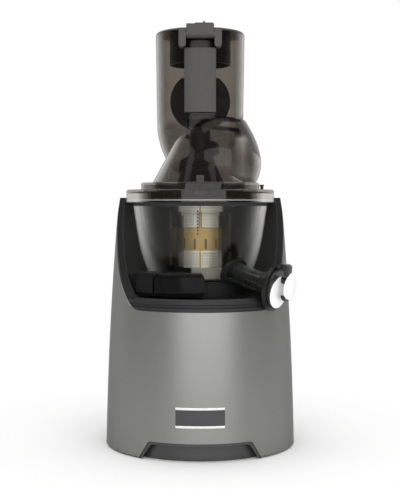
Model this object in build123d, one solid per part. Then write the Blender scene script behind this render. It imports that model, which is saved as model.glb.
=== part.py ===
from build123d import *

# Upright slow juicer: a barrel base with a geared motor, a bowl with strainer, brush and auger, and a lid
# with its hopper.
# Millimetres, +Z up, the front faces -Y. The origin is on the base's axis, on the plane under the feet.
import os
from math import acos, asin, cos, hypot, pi, radians, sin, sqrt, tan

os.makedirs("parts", exist_ok=True)

# ---- driving dimensions ----
# Base barrel: the outer radius at three heights sets one long arc.
foot_radius = 101.5
foot_height = 2.0
waist_draw = 2.8
waist_height = 98.5
wing_draw = 13.3
wing_height = 264.4
waist_radius = foot_radius - waist_draw
wing_radius = foot_radius - wing_draw
shell_wall = 2.6
part_gap = 0.3
flush_step = 0.5
# Side view of the cut that opens the shell for the bowl: the front edge, then up the slope of each wing.
front_edge_height = 149.0
shell_back_height = 258.0
slope_points = [(-66.0, front_edge_height), (-42.0, 180.0), (-24.0, 213.0), (5.0, shell_back_height)]
slope_radii = [20.0, 80.0, 100.0, 12.0]
cradle_lead = 4.0
wing_thickness = 6.5
bay_floor_height = 160.0
bay_floor_thickness = 2.5
ledge_top = 162.0
ledge_wall = 3.4

# Front foot recess, name plate and feet.
recess_height = 18.8
recess_half_top = 52.0
recess_half_bottom = 65.5
recess_depth = 8.0
recess_lip = 2.4
panel_low = 0.6
plate_width = 49.4
plate_low = 34.6
plate_high = 54.9
plate_proud = 0.3
rail_proud = 0.6
plate_edge = 2.3
base_plate_low = 3.4
base_plate_thickness = 3.6
foot_pad_radius = 9.0
foot_pad_circle = 78.0
screw_radius = 2.0
screw_head = 3.6
screw_head_height = 2.2
boss_inset = 8.5
boss_circle = foot_radius - boss_inset
boss_radius = 6.5
boss_top = 24.0
plate_bar_pitch = 6.0
plate_bar_half = 1.5

# Motor and gear train.
motor_offset = 10.25
motor_radius = 43.0
motor_low = 15.0
motor_high = 91.0
gearbox_floor = motor_high
motor_wall = 2.0
stator_thickness = 15.0
rotor_radius = 24.0
rotor_air_gap = 0.7
motor_shaft_radius = 4.0
gear_pressure_angle = 25.0
gear_backlash = 0.16
first_module = 1.25
motor_pinion_teeth = 14
middle_wheel_teeth = 56
second_module = 1.5
middle_pinion_teeth = 12
output_wheel_teeth = 60
first_stage_low = 97.0
first_stage_width = 6.0
second_stage_low = 106.5
second_stage_width = 10.0
gearbox_wall = 2.4
gearbox_high = 146.0
gear_clearance = 1.2
gear_addendum = 0.8
gear_dedendum = 1.05
gearbox_lid_thickness = 4.0
bearing_width = 6.0
small_bearing = 9.0
large_bearing = 15.0
middle_shaft_radius = 4.0
mount_height = 4.0
drive_shaft_radius = 8.0
drive_hex = 13.0
drive_top = 195.0
running_fit = 0.08

# Bowl: the lid fits between the wings, and the bowl's rim inside the lid. The outer wall is a curve
# through these steps inwards from the rim, each at its height.
lid_clearance = 1.4
lid_radius = wing_radius - wing_thickness - lid_clearance
bowl_low = 176.0
bowl_high = 255.5
bowl_rim = lid_radius - 7.6
bowl_taper = [(21.2, bowl_low), (11.7, 195.5), (3.3, 233.6), (0.0, bowl_high)]
bowl_curve = [(bowl_rim - step, height) for step, height in bowl_taper]
bowl_wall = 2.2
bowl_floor = 2.5
seat_step = 3.5
seat_radius = bowl_curve[0][0] - seat_step
seat_wall = 3.0
bowl_hole_radius = 11.0

# Strainer, brush and the small gears on the bowl floor.
strainer_radius = 33.5
strainer_rib = 2.8
mesh_thickness = 0.6
strainer_low = 183.6
strainer_floor = 2.2
strainer_high = 256.6
strainer_rim = 36.0
band_low = 206.0
band_high = 232.0
band_slots = 18
slot_width = 2.2
slot_low = 210.0
slot_high = 220.5
strainer_ribs = 8
rib_width = 3.0
brush_module = 1.5
auger_gear_teeth = 16
idler_teeth = 12
brush_gear_teeth = 40
brush_gear_width = 4.0
brush_outer = 37.6
brush_gap = 0.5
brush_low_ring = 190.0
brush_top_low = 245.5
brush_top_high = 249.5
brush_posts = [38.0, 142.0, 218.0, 322.0]
post_width = 5.0
blade_reach = 44.0
blade_thickness = 1.8

# Auger.
auger_clearance = 0.7
auger_core_low = 25.0
auger_core_mid = 20.0
auger_neck = 12.0
auger_neck_low = 300.0
auger_shoulder = 338.0
auger_pin_radius = 4.9
auger_pin_top = 349.5
press_flight_pitch = 27.0
press_flight_low = 188.5
press_flight_high = 258.0
press_flight_half = (3.2, 1.3)
cut_flight_pitch = 39.0
cut_flight_low = 262.0
cut_flight_high = 334.0
cut_flight_half = (5.5, 2.8)

# Lid and hopper.
lid_low = 259.5
lid_ring_top = 273.0
lid_wall = 2.4
step_radius = lid_radius - 16.0
step_top = 280.5
lid_mouth = 49.0
funnel_radius = 34.5
funnel_low = 257.0
hopper_wall = 2.4
chute_back = 28.0
chute_top_radius = 49.5
chute_low_radius = 48.0
chute_shoulder = 349.0
chute_top = 444.5
belly_depth = 68.0
cone_low_radius = 51.0
cone_low = 282.0
cone_top_radius = 17.0
cone_top = 345.0
bulge_x = 16.8
bulge_y = 10.0
bulge_curve = [(44.0, step_top), (48.1, 289.0), (50.1, 302.0), (47.6, 317.7), (41.3, 334.0), (32.6, 349.0)]
socket_radius = 12.0
socket_high = 353.0
bar_half = 16.9
arm_inner = 15.2
arm_outer = 23.0
arm_length = 20.3
arm_high = chute_top - 0.2
arm_low = arm_high - arm_length
bar_low = 355.5
bar_high = arm_low
bar_proud = 6.0
hinge_y = -27.5
hinge_drop = 6.0
hinge_height = chute_top - hinge_drop
knuckle_radius = 5.0
hinge_half = 14.8
hinge_block_top = chute_top + 4.3
hinge_pin_radius = 1.5
collar_radius = 34.0
collar_wall = 2.5
collar_length = 32.5
collar_low = chute_top - collar_length
cover_thickness = 2.5
cover_gap = 0.2
gate_radius = 34.2
gate_thickness = 2.4
gate_y = 55.0
gate_hinge_drop = 3.5
gate_hinge_height = collar_low - gate_hinge_drop
gate_pin_radius = 1.2

# Juice spout on the right and its cap; pulp outlet on the left.
spout_reach = foot_radius * sqrt(0.5)
spout_root = (spout_reach - 34.17, 25.27 - spout_reach, 186.0)
spout_end = (spout_reach + 5.83, 0.27 - spout_reach, 171.6)
spout_radius = 10.5
spout_bore = 8.3
cap_azimuth = 60.0
cap_tilt = 8.0
cap_ring_radius = 23.6
cap_ring_thickness = 4.5
spout_neck_radius = 12.6
spout_flange_radius = 14.6
spout_flange_thickness = 3.0
cap_plate_radius = 21.0
cap_plate_thickness = 3.0
cap_face_radius = 17.3
cap_face_thickness = 2.2
lever_radius = 13.0
lever_stand_off = 13.0
lever_thickness = 4.0
stem_radius = 3.4
stem_place = (2.0, 9.0)
plug_radius = 6.0
plug_length = 4.0
cap_hinge_up = 23.2
cap_hinge_out = 3.6
cap_hinge_half = 6.0
cap_hinge_pin = 1.2
cap_knuckle = 2.9
pulp_clearance = 3.2
pulp_outer = wing_radius - pulp_clearance
pulp_depth = 27.0
pulp_inner = pulp_outer - pulp_depth
pulp_nose = 4.6
pulp_nose_radius = 9.0
pulp_rib_proud = 0.8
pulp_ribs = [(15.5, 17.0), (18.6, 20.1), (21.7, 23.2)]
pulp_rim = 1.8
pulp_low = 163.0
pulp_high = 187.0
pulp_wall = 2.2
pulp_start = -14.0
pulp_seam = 31.0
pulp_end = 63.0
flap_azimuth = 42.0
flap_half = 11.6
flap_low = 166.4
flap_high = 183.4
flap_radius = pulp_outer + 0.4
flap_thickness = 1.6
flap_knuckle = 1.8
flap_pin_radius = 0.9
ear_width = 2.3
ear_gap = 0.3
flap_gap = 0.4
flap_pin_height = 185.2

# Grip well at the back, controls and inlet.
grip_half = 34.0
grip_low = 196.0
grip_high = 222.0
switch_height = 100.0
switch_azimuth = 35.0
switch_width = 20.0
switch_length = 32.0
rocker_width = 14.0
rocker_length = 25.0
vent_count = 7
vent_start = 62.0
vent_step = 5.0
vent_half = 1.2
vent_low = 26.0
vent_high = 62.0
inlet_height = 42.0
inlet_width = 28.0
inlet_tall = 21.0
inlet_depth = 18.0
board_x = -74.0
board_half = 28.0
board_low = 30.0
board_high = 82.0

UP = (Align.CENTER, Align.CENTER, Align.MIN)
BIG = 400.0


# ---- small tools ----
def rod(radius, low, high, x=0.0, y=0.0):
    return Pos(x, y, low) * Cylinder(radius, high - low, align=UP)


def pipe(outer, inner, low, high, x=0.0, y=0.0):
    return rod(outer, low, high, x, y) - rod(inner, low, high, x, y)


def block(x0, x1, y0, y1, z0, z1):
    box = Box(x1 - x0, y1 - y0, z1 - z0)
    return Pos((x0 + x1) / 2, (y0 + y1) / 2, (z0 + z1) / 2) * box


def turned(points, x=0.0, y=0.0):
    face = make_face(Polyline(*points, close=True))
    return Pos(x, y, 0) * revolve(Plane.XZ * face, Axis.Z)


def across(radius, half, y, z):
    # A rod along X, centred on x = 0.
    return Pos(0, y, z) * Rot(0, 90, 0) * Cylinder(radius, 2 * half)


def side_prism(face, half=BIG / 2):
    # A face drawn in (y, z), stretched along X.
    return extrude(Plane.YZ * face, amount=half, both=True)


def save(shape, name):
    export_step(shape, f"parts/{name}.step")


def group(shapes):
    return Compound(children=list(shapes))


# ---- the barrel ----
def circle_through(p, q, s):
    # Centre and radius of the circle through three points.
    ax, ay = q[0] - p[0], q[1] - p[1]
    bx, by = s[0] - p[0], s[1] - p[1]
    d = 2 * (ax * by - ay * bx)
    a2, b2 = ax * ax + ay * ay, bx * bx + by * by
    ux, uy = (by * a2 - ay * b2) / d, (ax * b2 - bx * a2) / d
    return p[0] + ux, p[1] + uy, hypot(ux, uy)


arc_r, arc_z, arc_radius = circle_through(
    (foot_radius, foot_height), (waist_radius, waist_height), (wing_radius, wing_height)
)


def barrel_radius(z, inset=0.0):
    return arc_r + sqrt((arc_radius - inset) ** 2 - (z - arc_z) ** 2)


def barrel(low, high, inset=0.0):
    mid = (low + high) / 2
    outline = Line((0, low), (barrel_radius(low, inset), low))
    outline += ThreePointArc(
        (barrel_radius(low, inset), low),
        (barrel_radius(mid, inset), mid),
        (barrel_radius(high, inset), high),
    )
    outline += Polyline((barrel_radius(high, inset), high), (0, high), (0, low))
    return revolve(Plane.XZ * make_face(outline), Axis.Z)


def front_space(lead, edge_height):
    # Everything in front of and above the slope, moved forward by lead, with its front edge at edge_height.
    points = [(y - lead, z) for y, z in slope_points]
    first_run = (points[1][0] - points[0][0]) / (points[1][1] - points[0][1])
    points[0] = (points[1][0] - first_run * (points[1][1] - edge_height), edge_height)
    top = (points[3][0], points[3][1])
    path = FilletPolyline((-BIG / 2, edge_height), *points, (BIG / 2, top[1]), radius=slope_radii)
    rest = Polyline((BIG / 2, top[1]), (BIG / 2, BIG), (-BIG / 2, BIG), (-BIG / 2, edge_height))
    return side_prism(make_face(path + rest))


def cradle_space(lead):
    # The same cut for the cradle, open to the top behind the slope.
    points = [(y - lead, z) for y, z in slope_points]
    first_run = (points[1][0] - points[0][0]) / (points[1][1] - points[0][1])
    points[0] = (points[1][0] - first_run * (points[1][1] - bay_floor_height), bay_floor_height)
    last_run = (points[3][0] - points[2][0]) / (points[3][1] - points[2][1])
    over = (points[3][0] + last_run * wing_thickness * 2, points[3][1] + wing_thickness * 2)
    path = FilletPolyline(
        (-BIG / 2, bay_floor_height), *points[:3], over, radius=slope_radii[:3]
    )
    rest = Polyline(over, (over[0], BIG), (-BIG / 2, BIG), (-BIG / 2, bay_floor_height))
    return side_prism(make_face(path + rest))


switch_face = barrel_radius(switch_height)
rocker_axis_x = switch_face - 4.0
rocker_pin = 1.4
to_switch = Rot(0, 0, switch_azimuth)


# ---- spout frames ----
def unit(v):
    n = sqrt(sum(c * c for c in v))
    return tuple(c / n for c in v)


spout_axis = unit(tuple(e - r for r, e in zip(spout_root, spout_end)))
spout_plane = Plane(origin=spout_end, x_dir=(-spout_axis[1], spout_axis[0], 0), z_dir=spout_axis)
cap_side = (cos(radians(cap_azimuth)), sin(radians(cap_azimuth)), 0)
cap_axis = (
    sin(radians(cap_azimuth)) * cos(radians(cap_tilt)),
    -cos(radians(cap_azimuth)) * cos(radians(cap_tilt)),
    -sin(radians(cap_tilt)),
)
cap_plane = Plane(origin=spout_end, x_dir=cap_side, z_dir=cap_axis)


def along(plane, radius, low, high, x=0.0, y=0.0):
    # A rod along the plane's axis, between two distances from its origin.
    return plane * (Pos(x, y, low) * Cylinder(radius, high - low, align=UP))


def plane_block(plane, x0, x1, y0, y1, z0, z1):
    return plane * block(x0, x1, y0, y1, z0, z1)


def spout_notch():
    # Room for the spout's neck in the wing's corner, open upwards so that the bowl lifts out.
    half = spout_neck_radius + 1.2
    floor = spout_end[2] - spout_neck_radius + 0.6
    run = Plane(origin=(spout_end[0], spout_end[1], 0), x_dir=spout_plane.x_dir, z_dir=(0, 0, 1))
    return plane_block(run, -half, half, -BIG / 8, BIG / 8, floor - 0.4, BIG) & block(
        30, BIG / 2, -BIG / 2, 0, 0, BIG
    )


# ---- gears ----
def involute(angle):
    return tan(angle) - angle


def gear_face(teeth, module, thin=gear_backlash, grow=0.0):
    # A spur gear's outline with two chords on each flank. thin narrows each tooth; grow moves tip and root
    # out.
    alpha = radians(gear_pressure_angle)
    pitch = teeth * module / 2
    base = pitch * cos(alpha)
    tip, root = pitch + gear_addendum * module + grow, pitch - gear_dedendum * module + grow
    half_at_pitch = (pi * module / 2 - thin) / 2 / pitch

    def half_angle(radius):
        return half_at_pitch + involute(alpha) - involute(acos(min(1.0, base / radius)))

    points = []
    for k in range(teeth):
        mid = 2 * pi * k / teeth
        flank = [(r, half_angle(max(r, base))) for r in (root, pitch, tip)]
        for r, half in flank:
            points.append((r * cos(mid - half), r * sin(mid - half)))
        for r, half in reversed(flank):
            points.append((r * cos(mid + half), r * sin(mid + half)))
    return make_face(Polyline(*points, close=True))


def gear(teeth, module, low, width, x=0.0, y=0.0, turn=0.0):
    # The tooth at turn degrees; the bore is cut by the caller.
    return Pos(x, y, low) * Rot(0, 0, turn) * extrude(gear_face(teeth, module), amount=width)


middle_y = motor_offset + first_module * (motor_pinion_teeth + middle_wheel_teeth) / 2
first_wheel_radius = first_module * middle_wheel_teeth / 2
output_wheel_radius = second_module * output_wheel_teeth / 2


# ---- base ----
def screw(x, y, low, length):
    # A screw with its head below and a cross slot in the head.
    body = rod(screw_radius, low, low + length, x, y) + rod(screw_head, low, low + screw_head_height, x, y)
    half_long, half_wide, deep = 2.4, 0.5, 0.9
    for a, b in ((half_long, half_wide), (half_wide, half_long)):
        body -= block(x - a, x + a, y - b, y + b, low - 1, low + deep)
    return body


def recess_prism(shrink=0.0):
    top, low = recess_half_top - shrink, recess_half_bottom - shrink
    path = FilletPolyline((-low, -5), (-top, recess_height - shrink), (top, recess_height - shrink),
                          (low, -5), radius=[3.0, 3.0])
    face = make_face(path + Line((low, -5), (-low, -5)))
    return extrude(Plane.XZ * face, amount=BIG / 2)


def base_shell():
    shell = barrel(foot_height, wing_height, 0) - barrel(foot_height - 1, wing_height + 1, shell_wall)
    shell -= front_space(0, front_edge_height)
    shell -= spout_notch()
    shell -= recess_prism() & block(-BIG, BIG, -BIG, 0, -10, BIG)
    # Switch window towards the back on the right, inlet window and cooling slots at the back, with a grip
    # opening above.
    window_x = switch_face - 4 * shell_wall
    shell -= to_switch * block(window_x, BIG, -switch_width / 2, switch_width / 2,
                               switch_height - switch_length / 2, switch_height + switch_length / 2)
    inside_y = wing_radius - wing_thickness
    shell -= block(-inlet_width / 2, inlet_width / 2, inside_y, BIG,
                   inlet_height - inlet_tall / 2, inlet_height + inlet_tall / 2)
    for side in (-1, 1):
        for k in range(vent_count):
            turn = Rot(0, 0, side * (vent_start - vent_step * k))
            shell -= turn * block(-vent_half, vent_half, inside_y, BIG / 3, vent_low, vent_high)
    shell -= grip_prism()
    # Screw bosses round the foot and posts for the control board, moulded on the inside of the wall.
    inside = barrel(foot_height, front_edge_height, shell_wall / 2)
    for x, y in screw_places():
        boss = rod(boss_radius, base_plate_low + base_plate_thickness, boss_top, x, y) & inside
        shell += boss - rod(screw_radius, 0, boss_top - 4, x, y)
    for y in (-board_half + 4, board_half - 4):
        for z in (board_low + 4, board_high - 4):
            post = Pos(-foot_radius, y, z) * Rot(0, 90, 0) * Cylinder(3, foot_radius + board_x, align=UP)
            shell += post & inside
    return shell


def grip_prism(shrink=0.0):
    face = RectangleRounded(2 * (grip_half - shrink), grip_high - grip_low - 2 * shrink, 9)
    return extrude(Plane.XZ * Pos(0, (grip_low + grip_high) / 2) * face, amount=-BIG / 2)


def grip_insert():
    # A shallow dark finger well in the back of the shell.
    outer = barrel(grip_low - 5, grip_high + 5, 0.4) - barrel(grip_low - 5, grip_high + 5, shell_wall)
    frame = outer & grip_prism(0.2)
    return frame - grip_prism(3.0)


def cradle():
    wall = barrel(bay_floor_height, shell_back_height - part_gap, shell_wall + part_gap)
    shown = barrel(bay_floor_height, wing_height, flush_step) & front_space(part_gap, front_edge_height)
    bay = barrel(bay_floor_height - 1, wing_height + 1, wing_thickness)
    body = wall + shown - bay - cradle_space(cradle_lead) - spout_notch()
    return body.solids().sort_by(SortBy.VOLUME)[-1]


def trim_ring():
    low, top = front_edge_height, ledge_top
    r0 = barrel_radius(low + 2) - flush_step
    r1 = barrel_radius(top - 2) - flush_step
    inner = r1 - ledge_wall
    ring = turned([
        (inner, low), (r0, low), (r0, low + 3.6), (r0 - 1.6, low + 4.4), (r0 - 1.6, low + 6.4),
        (r1, low + 7.4), (r1, top - 1.6), (r1 - 1.2, top - 0.4), (r1 - ledge_wall, top),
    ])
    low_part = ring & block(-BIG, BIG, -BIG, BIG, low, bay_floor_height)
    low_part = low_part & front_space(part_gap, front_edge_height)
    high_part = ring & cradle_space(cradle_lead + part_gap)
    return low_part + high_part - spout_notch()


def bay_floor():
    inner = barrel_radius(ledge_top - 2) - flush_step - ledge_wall - part_gap
    low = bay_floor_height - bay_floor_thickness
    floor = rod(inner, low, bay_floor_height) - rod(seat_radius - seat_wall, low - 1, BIG)
    seat = pipe(seat_radius, seat_radius - seat_wall, low, bowl_low)
    top = pipe(seat_radius, drive_shaft_radius + 4.0, bowl_low - seat_wall, bowl_low)
    return floor + seat + top


def base_plate():
    radius = barrel_radius(base_plate_low) - shell_wall - 0.2
    top = base_plate_low + base_plate_thickness
    plate = rod(radius, base_plate_low, top)
    tray = barrel(0, recess_height, -part_gap) - barrel(
        -1, recess_height + 1, recess_depth + recess_lip + part_gap)
    plate -= tray & recess_prism(-part_gap) & block(-BIG, BIG, -BIG, 0, -10, BIG)
    for k in range(-4, 5):
        x = k * plate_bar_pitch
        plate -= block(x - plate_bar_half, x + plate_bar_half, -34, 24, base_plate_low - 1, top + 1)
    for x, y in foot_places():
        plate -= rod(2.6, 0, BIG / 8, x, y)
    for x, y in screw_places():
        plate -= rod(screw_radius + 0.2, 0, BIG / 8, x, y)
        plate -= rod(screw_head + 0.2, 0, base_plate_low + screw_head_height, x, y)
    for x, y in mount_places():
        plate += rod(6.0, top, motor_low - mount_height, x, y)
    return plate


def foot_places():
    angles = [radians(a) for a in (35, 145, 215, 325)]
    return [(foot_pad_circle * cos(a), foot_pad_circle * sin(a)) for a in angles]


def screw_places():
    angles = [radians(a) for a in (10, 70, 110, 170, 218, 322)]
    return [(boss_circle * cos(a), boss_circle * sin(a)) for a in angles]


def mount_places():
    r = motor_radius - 8
    return [(r * cos(radians(a)), motor_offset + r * sin(radians(a))) for a in (45, 135, 225, 315)]


def recess_panel():
    space = recess_prism(part_gap) & block(-BIG, BIG, -BIG, 0, panel_low, BIG)
    ring = barrel(panel_low, recess_height + 4, flush_step) - barrel(
        panel_low - 1, recess_height + 5, recess_depth + recess_lip)
    hollow = recess_prism(part_gap + recess_lip) - barrel(-10, recess_height + 5, recess_depth)
    return (ring & space) - hollow


def name_plate():
    half = plate_width / 2
    skin = barrel(plate_low, plate_high, -plate_proud) - barrel(plate_low - 1, plate_high + 1, 0)
    face = skin & block(-half, half, -BIG, 0, plate_low + plate_edge, plate_high - plate_edge)
    rail = barrel(plate_low, plate_high, -rail_proud) - barrel(plate_low - 1, plate_high + 1, 0)
    low = rail & block(-half, half, -BIG, 0, plate_low, plate_low + plate_edge)
    high = rail & block(-half, half, -BIG, 0, plate_high - plate_edge, plate_high)
    return face, group([low, high])


def rubber_feet():
    return group(
        rod(foot_pad_radius, 0, base_plate_low, x, y) + rod(2.5, base_plate_low, base_plate_low + 4.2, x, y)
        for x, y in foot_places()
    )


# ---- motor ----
def motor_can():
    can = pipe(motor_radius, motor_radius - motor_wall, motor_low, motor_high, 0, motor_offset)
    floor = rod(motor_radius, motor_low, motor_low + motor_wall, 0, motor_offset)
    hub = rod(14, motor_low + motor_wall, motor_low + 2 + bearing_width, 0, motor_offset)
    seat = rod(small_bearing, motor_low + motor_wall, motor_high, 0, motor_offset)
    body = can + floor + (hub - seat)
    for k in range(8):
        slot = Rot(0, 0, 45 * k + 22.5) * block(-2, 2, 20, 36, motor_low - 1, motor_low + motor_wall + 1)
        body -= Pos(0, motor_offset, 0) * slot
    return body


def stator_bounds():
    return motor_low + 20, motor_high - 17


def stator():
    low, high = stator_bounds()
    outer = motor_radius - motor_wall
    core = pipe(outer, rotor_radius + rotor_air_gap, low, high, 0, motor_offset)
    for k in range(12):
        slot = Rot(0, 0, 30 * k) * block(-2.6, 2.6, rotor_radius + 3, outer - 4, low - 1, high + 1)
        core -= Pos(0, motor_offset, 0) * slot
    return core


def windings():
    # Two rings of end turns, one above and one below the core, with the bars that join them.
    low, high = stator_bounds()
    inner, outer = rotor_radius + 3.2, motor_radius - motor_wall - 4.2
    ring = pipe(outer, inner, low - 8, low, 0, motor_offset)
    ring += pipe(outer, inner, high, high + 7, 0, motor_offset)
    for k in range(12):
        bar = Rot(0, 0, 30 * k) * block(-2.2, 2.2, inner + 0.2, outer - 0.2, low - 1, high + 1)
        ring += Pos(0, motor_offset, 0) * bar
    return ring


def motor_rotor():
    low, high = stator_bounds()
    y = motor_offset
    core = rod(rotor_radius, low, high, 0, y)
    shaft = rod(motor_shaft_radius, motor_low + motor_wall + 0.3, first_stage_low, 0, y)
    pinion = gear(motor_pinion_teeth, first_module, first_stage_low, first_stage_width, 0, y, 90)
    return core + shaft + pinion


def motor_fan():
    y, low = motor_offset, motor_low + 9.5
    fan = pipe(20, motor_shaft_radius, low, low + 1.6, 0, y)
    fan += pipe(7, motor_shaft_radius, low, low + 6, 0, y)
    for k in range(9):
        blade = Rot(0, 0, 40 * k) * block(-0.8, 0.8, 6, 20, low + 1, low + 6)
        fan += Pos(0, y, 0) * blade
    return fan


# ---- gearbox ----
def gearbox_outline(grow=0.0):
    reach = output_wheel_radius + gear_addendum * second_module + gear_clearance + grow
    back = first_wheel_radius + gear_addendum * first_module + gear_clearance + grow
    return reach, back


def gearbox_case():
    reach, back = gearbox_outline(gearbox_wall)
    inner_reach, inner_back = gearbox_outline()
    low, high = gearbox_floor, gearbox_high - gearbox_lid_thickness
    body = rod(reach, low, high) + rod(back, low, high, 0, middle_y)
    hollow = rod(inner_reach, low + gearbox_wall, high)
    hollow += rod(inner_back, low + gearbox_wall, high, 0, middle_y)
    body -= hollow
    # The case's floor closes the motor and holds the rotor's upper bearing.
    seat_low = motor_high - 2 - bearing_width
    body += rod(14, seat_low - 2, low, 0, motor_offset)
    body -= rod(small_bearing, seat_low - 3, motor_high - 2, 0, motor_offset)
    body -= rod(motor_shaft_radius + 1, seat_low - 3, low + gearbox_wall + 1, 0, motor_offset)
    # Seat of the middle shaft's lower end.
    body -= rod(middle_shaft_radius + running_fit, low + 1, high, 0, middle_y)
    return body


def shaft_bearing_lows():
    return second_stage_low + second_stage_width + 2.5, gearbox_high + 3.0 - bearing_width


def gearbox_cover():
    reach, back = gearbox_outline(gearbox_wall)
    low = gearbox_high - gearbox_lid_thickness
    cover = rod(reach, low, gearbox_high) + rod(back, low, gearbox_high, 0, middle_y)
    first, second = shaft_bearing_lows()
    tower = rod(18, first - 1.5, gearbox_high + 4)
    cover += tower
    cover -= rod(drive_shaft_radius + 1.0, 0, BIG)
    cover -= rod(large_bearing, first, first + bearing_width) + rod(large_bearing, second, gearbox_high + 5)
    # Hub that holds the middle shaft's upper end.
    cover += rod(9, second_stage_low + second_stage_width + 3.5, low, 0, middle_y)
    cover -= rod(middle_shaft_radius + running_fit, 0, low + 2, 0, middle_y)
    for x, y in cover_pads():
        cover += rod(6, gearbox_high, bay_floor_height - bay_floor_thickness, x, y)
        cover -= rod(screw_radius + 0.1, gearbox_high, BIG, x, y)
    # The cover slides down over its shaft bearing, so the pocket is open below.
    cover -= pipe(large_bearing, drive_shaft_radius + 0.5, first - 3, first + 0.5)
    return cover


def cover_pads():
    r = output_wheel_radius - 2
    return [(r * cos(radians(a)), r * sin(radians(a))) for a in (0, 180, 235, 305)]


def bearing_ring(outer, inner, low, x=0.0, y=0.0):
    # Outer race, inner race and a shield between them.
    race = (outer - inner) * 0.28
    ring = pipe(outer, inner, low, low + bearing_width, x, y)
    groove = pipe(outer - race, inner + race, low + bearing_width - 0.5, low + bearing_width + 1, x, y)
    return ring - groove


def bearings():
    first, second = shaft_bearing_lows()
    low_motor = motor_low + motor_wall
    fit = running_fit
    return group([
        bearing_ring(small_bearing, motor_shaft_radius + fit, low_motor, 0, motor_offset),
        bearing_ring(small_bearing, motor_shaft_radius + fit, motor_high - 2 - bearing_width,
                     0, motor_offset),
        bearing_ring(large_bearing, drive_shaft_radius + fit, first),
        bearing_ring(large_bearing, drive_shaft_radius + fit, second),
    ])


def middle_gear():
    y = middle_y
    wheel = gear(middle_wheel_teeth, first_module, first_stage_low, first_stage_width, 0, y,
                 -90 + 180 / middle_wheel_teeth)
    hub = rod(6, first_stage_low + first_stage_width, second_stage_low, 0, y)
    pinion = gear(middle_pinion_teeth, second_module, second_stage_low - 0.5, second_stage_width + 1,
                  0, y, -90)
    shaft = rod(middle_shaft_radius, gearbox_floor + 1.1, gearbox_high - gearbox_lid_thickness + 1.8, 0, y)
    window = rod(6.2, first_stage_low - 1, first_stage_low + first_stage_width + 1, 20, 0)
    for k in range(6):
        wheel -= Pos(0, y, 0) * Rot(0, 0, 60 * k) * window
    return wheel + hub + pinion + shaft


def output_gear():
    wheel = gear(output_wheel_teeth, second_module, second_stage_low, second_stage_width, 0, 0,
                 90 + 180 / output_wheel_teeth)
    window = rod(8, second_stage_low - 1, second_stage_low + second_stage_width + 1, 26, 0)
    for k in range(6):
        wheel -= Rot(0, 0, 60 * k) * window
    return wheel - rod(drive_shaft_radius, 0, BIG)


def drive_shaft():
    lower = rod(drive_shaft_radius, second_stage_low, bowl_low - 2)
    step = bowl_low - 2
    outline = RegularPolygon(drive_hex / 2, 6, major_radius=False)
    hexagon = Pos(0, 0, step) * extrude(outline, amount=drive_top - step)
    return lower + hexagon - turned([
        (drive_hex / 2 - 1.0, drive_top), (drive_hex, drive_top - 3.2), (drive_hex, drive_top + 1),
        (drive_hex / 2 - 1.0, drive_top + 1),
    ])


def shaft_seal():
    return pipe(drive_shaft_radius + 4.0, drive_shaft_radius + running_fit, bowl_low - seat_wall, bowl_low)


# ---- electrics ----
def control_board():
    x = board_x
    board = block(x, x + 1.6, -board_half, board_half, board_low, board_high)
    board += block(x + 1.6, x + 14, -20, -4, 36, 58)
    board += Pos(0, 12, 66) * Pos(x + 1.6, 0, 0) * Rot(0, 90, 0) * Cylinder(6, 14, align=UP)
    board += block(x + 1.6, x + 9, 4, 22, 36, 50)
    return board


def power_inlet():
    face_y = barrel_radius(inlet_height) - 0.2
    half_w, half_t = inlet_width / 2 - 0.3, inlet_tall / 2 - 0.3
    low, high = inlet_height - half_t, inlet_height + half_t
    body = block(-half_w, half_w, face_y - inlet_depth, face_y, low, high)
    hollow = block(-half_w + 2.2, half_w - 2.2, face_y - inlet_depth + 2, face_y + 1, low + 2.2, high - 2.2)
    core = block(-8.5, 8.5, face_y - inlet_depth, face_y - 1.5, low + 4.5, high - 4.5)
    body = body - hollow + core
    flange_y = face_y - shell_wall - 6
    body += block(-half_w - 4, half_w + 4, flange_y, flange_y + 1.8, low - 3, high + 3)
    pins = []
    for x in (-6, 0, 6):
        body -= block(x - 1.2, x + 1.2, face_y - 12, face_y + 1, inlet_height - 2.2, inlet_height + 2.2)
        pins.append(block(x - 1.0, x + 1.0, face_y - 12, face_y - 2.5,
                          inlet_height - 2.0, inlet_height + 2.0))
    return group([body, *pins])


def switch_bezel():
    half_w, half_l = switch_width / 2, switch_length / 2
    z = switch_height
    box = block(switch_face - 16, switch_face - 0.4, -half_w + part_gap, half_w - part_gap,
                z - half_l + part_gap, z + half_l - part_gap)
    lip = (barrel(z - half_l - 2, z + half_l + 2, -1.0) - barrel(z - half_l - 3, z + half_l + 3, 0)) & block(
        0, BIG, -half_w - 1.8, half_w + 1.8, z - half_l - 1.8, z + half_l + 1.8)
    hole_w, hole_l = rocker_width / 2 + 0.4, rocker_length / 2 + 0.6
    hole = block(switch_face - 13, BIG, -hole_w, hole_w, z - hole_l, z + hole_l)
    pin = Pos(rocker_axis_x, 0, z) * Rot(90, 0, 0) * Cylinder(rocker_pin, 2 * hole_w + 2)
    return to_switch * (box + lip - hole + pin)


def switch_rocker():
    # A rocker on a pin along Y: two faces that meet in a shallow valley.
    z, w, length = switch_height, rocker_width / 2, rocker_length / 2
    x = rocker_axis_x
    points = [
        (x - 3.2, z - 5), (x - 3.2, z + 5), (x + 1.0, z + length), (x + 5.6, z + length - 0.6),
        (x + 4.0, z), (x + 5.6, z - length + 0.6), (x + 1.0, z - length),
    ]
    body = extrude(Plane.XZ * make_face(Polyline(*points, close=True)), amount=w, both=True)
    return to_switch * (body - Pos(x, 0, z) * Rot(90, 0, 0) * Cylinder(rocker_pin + running_fit, 4 * w))


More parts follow.
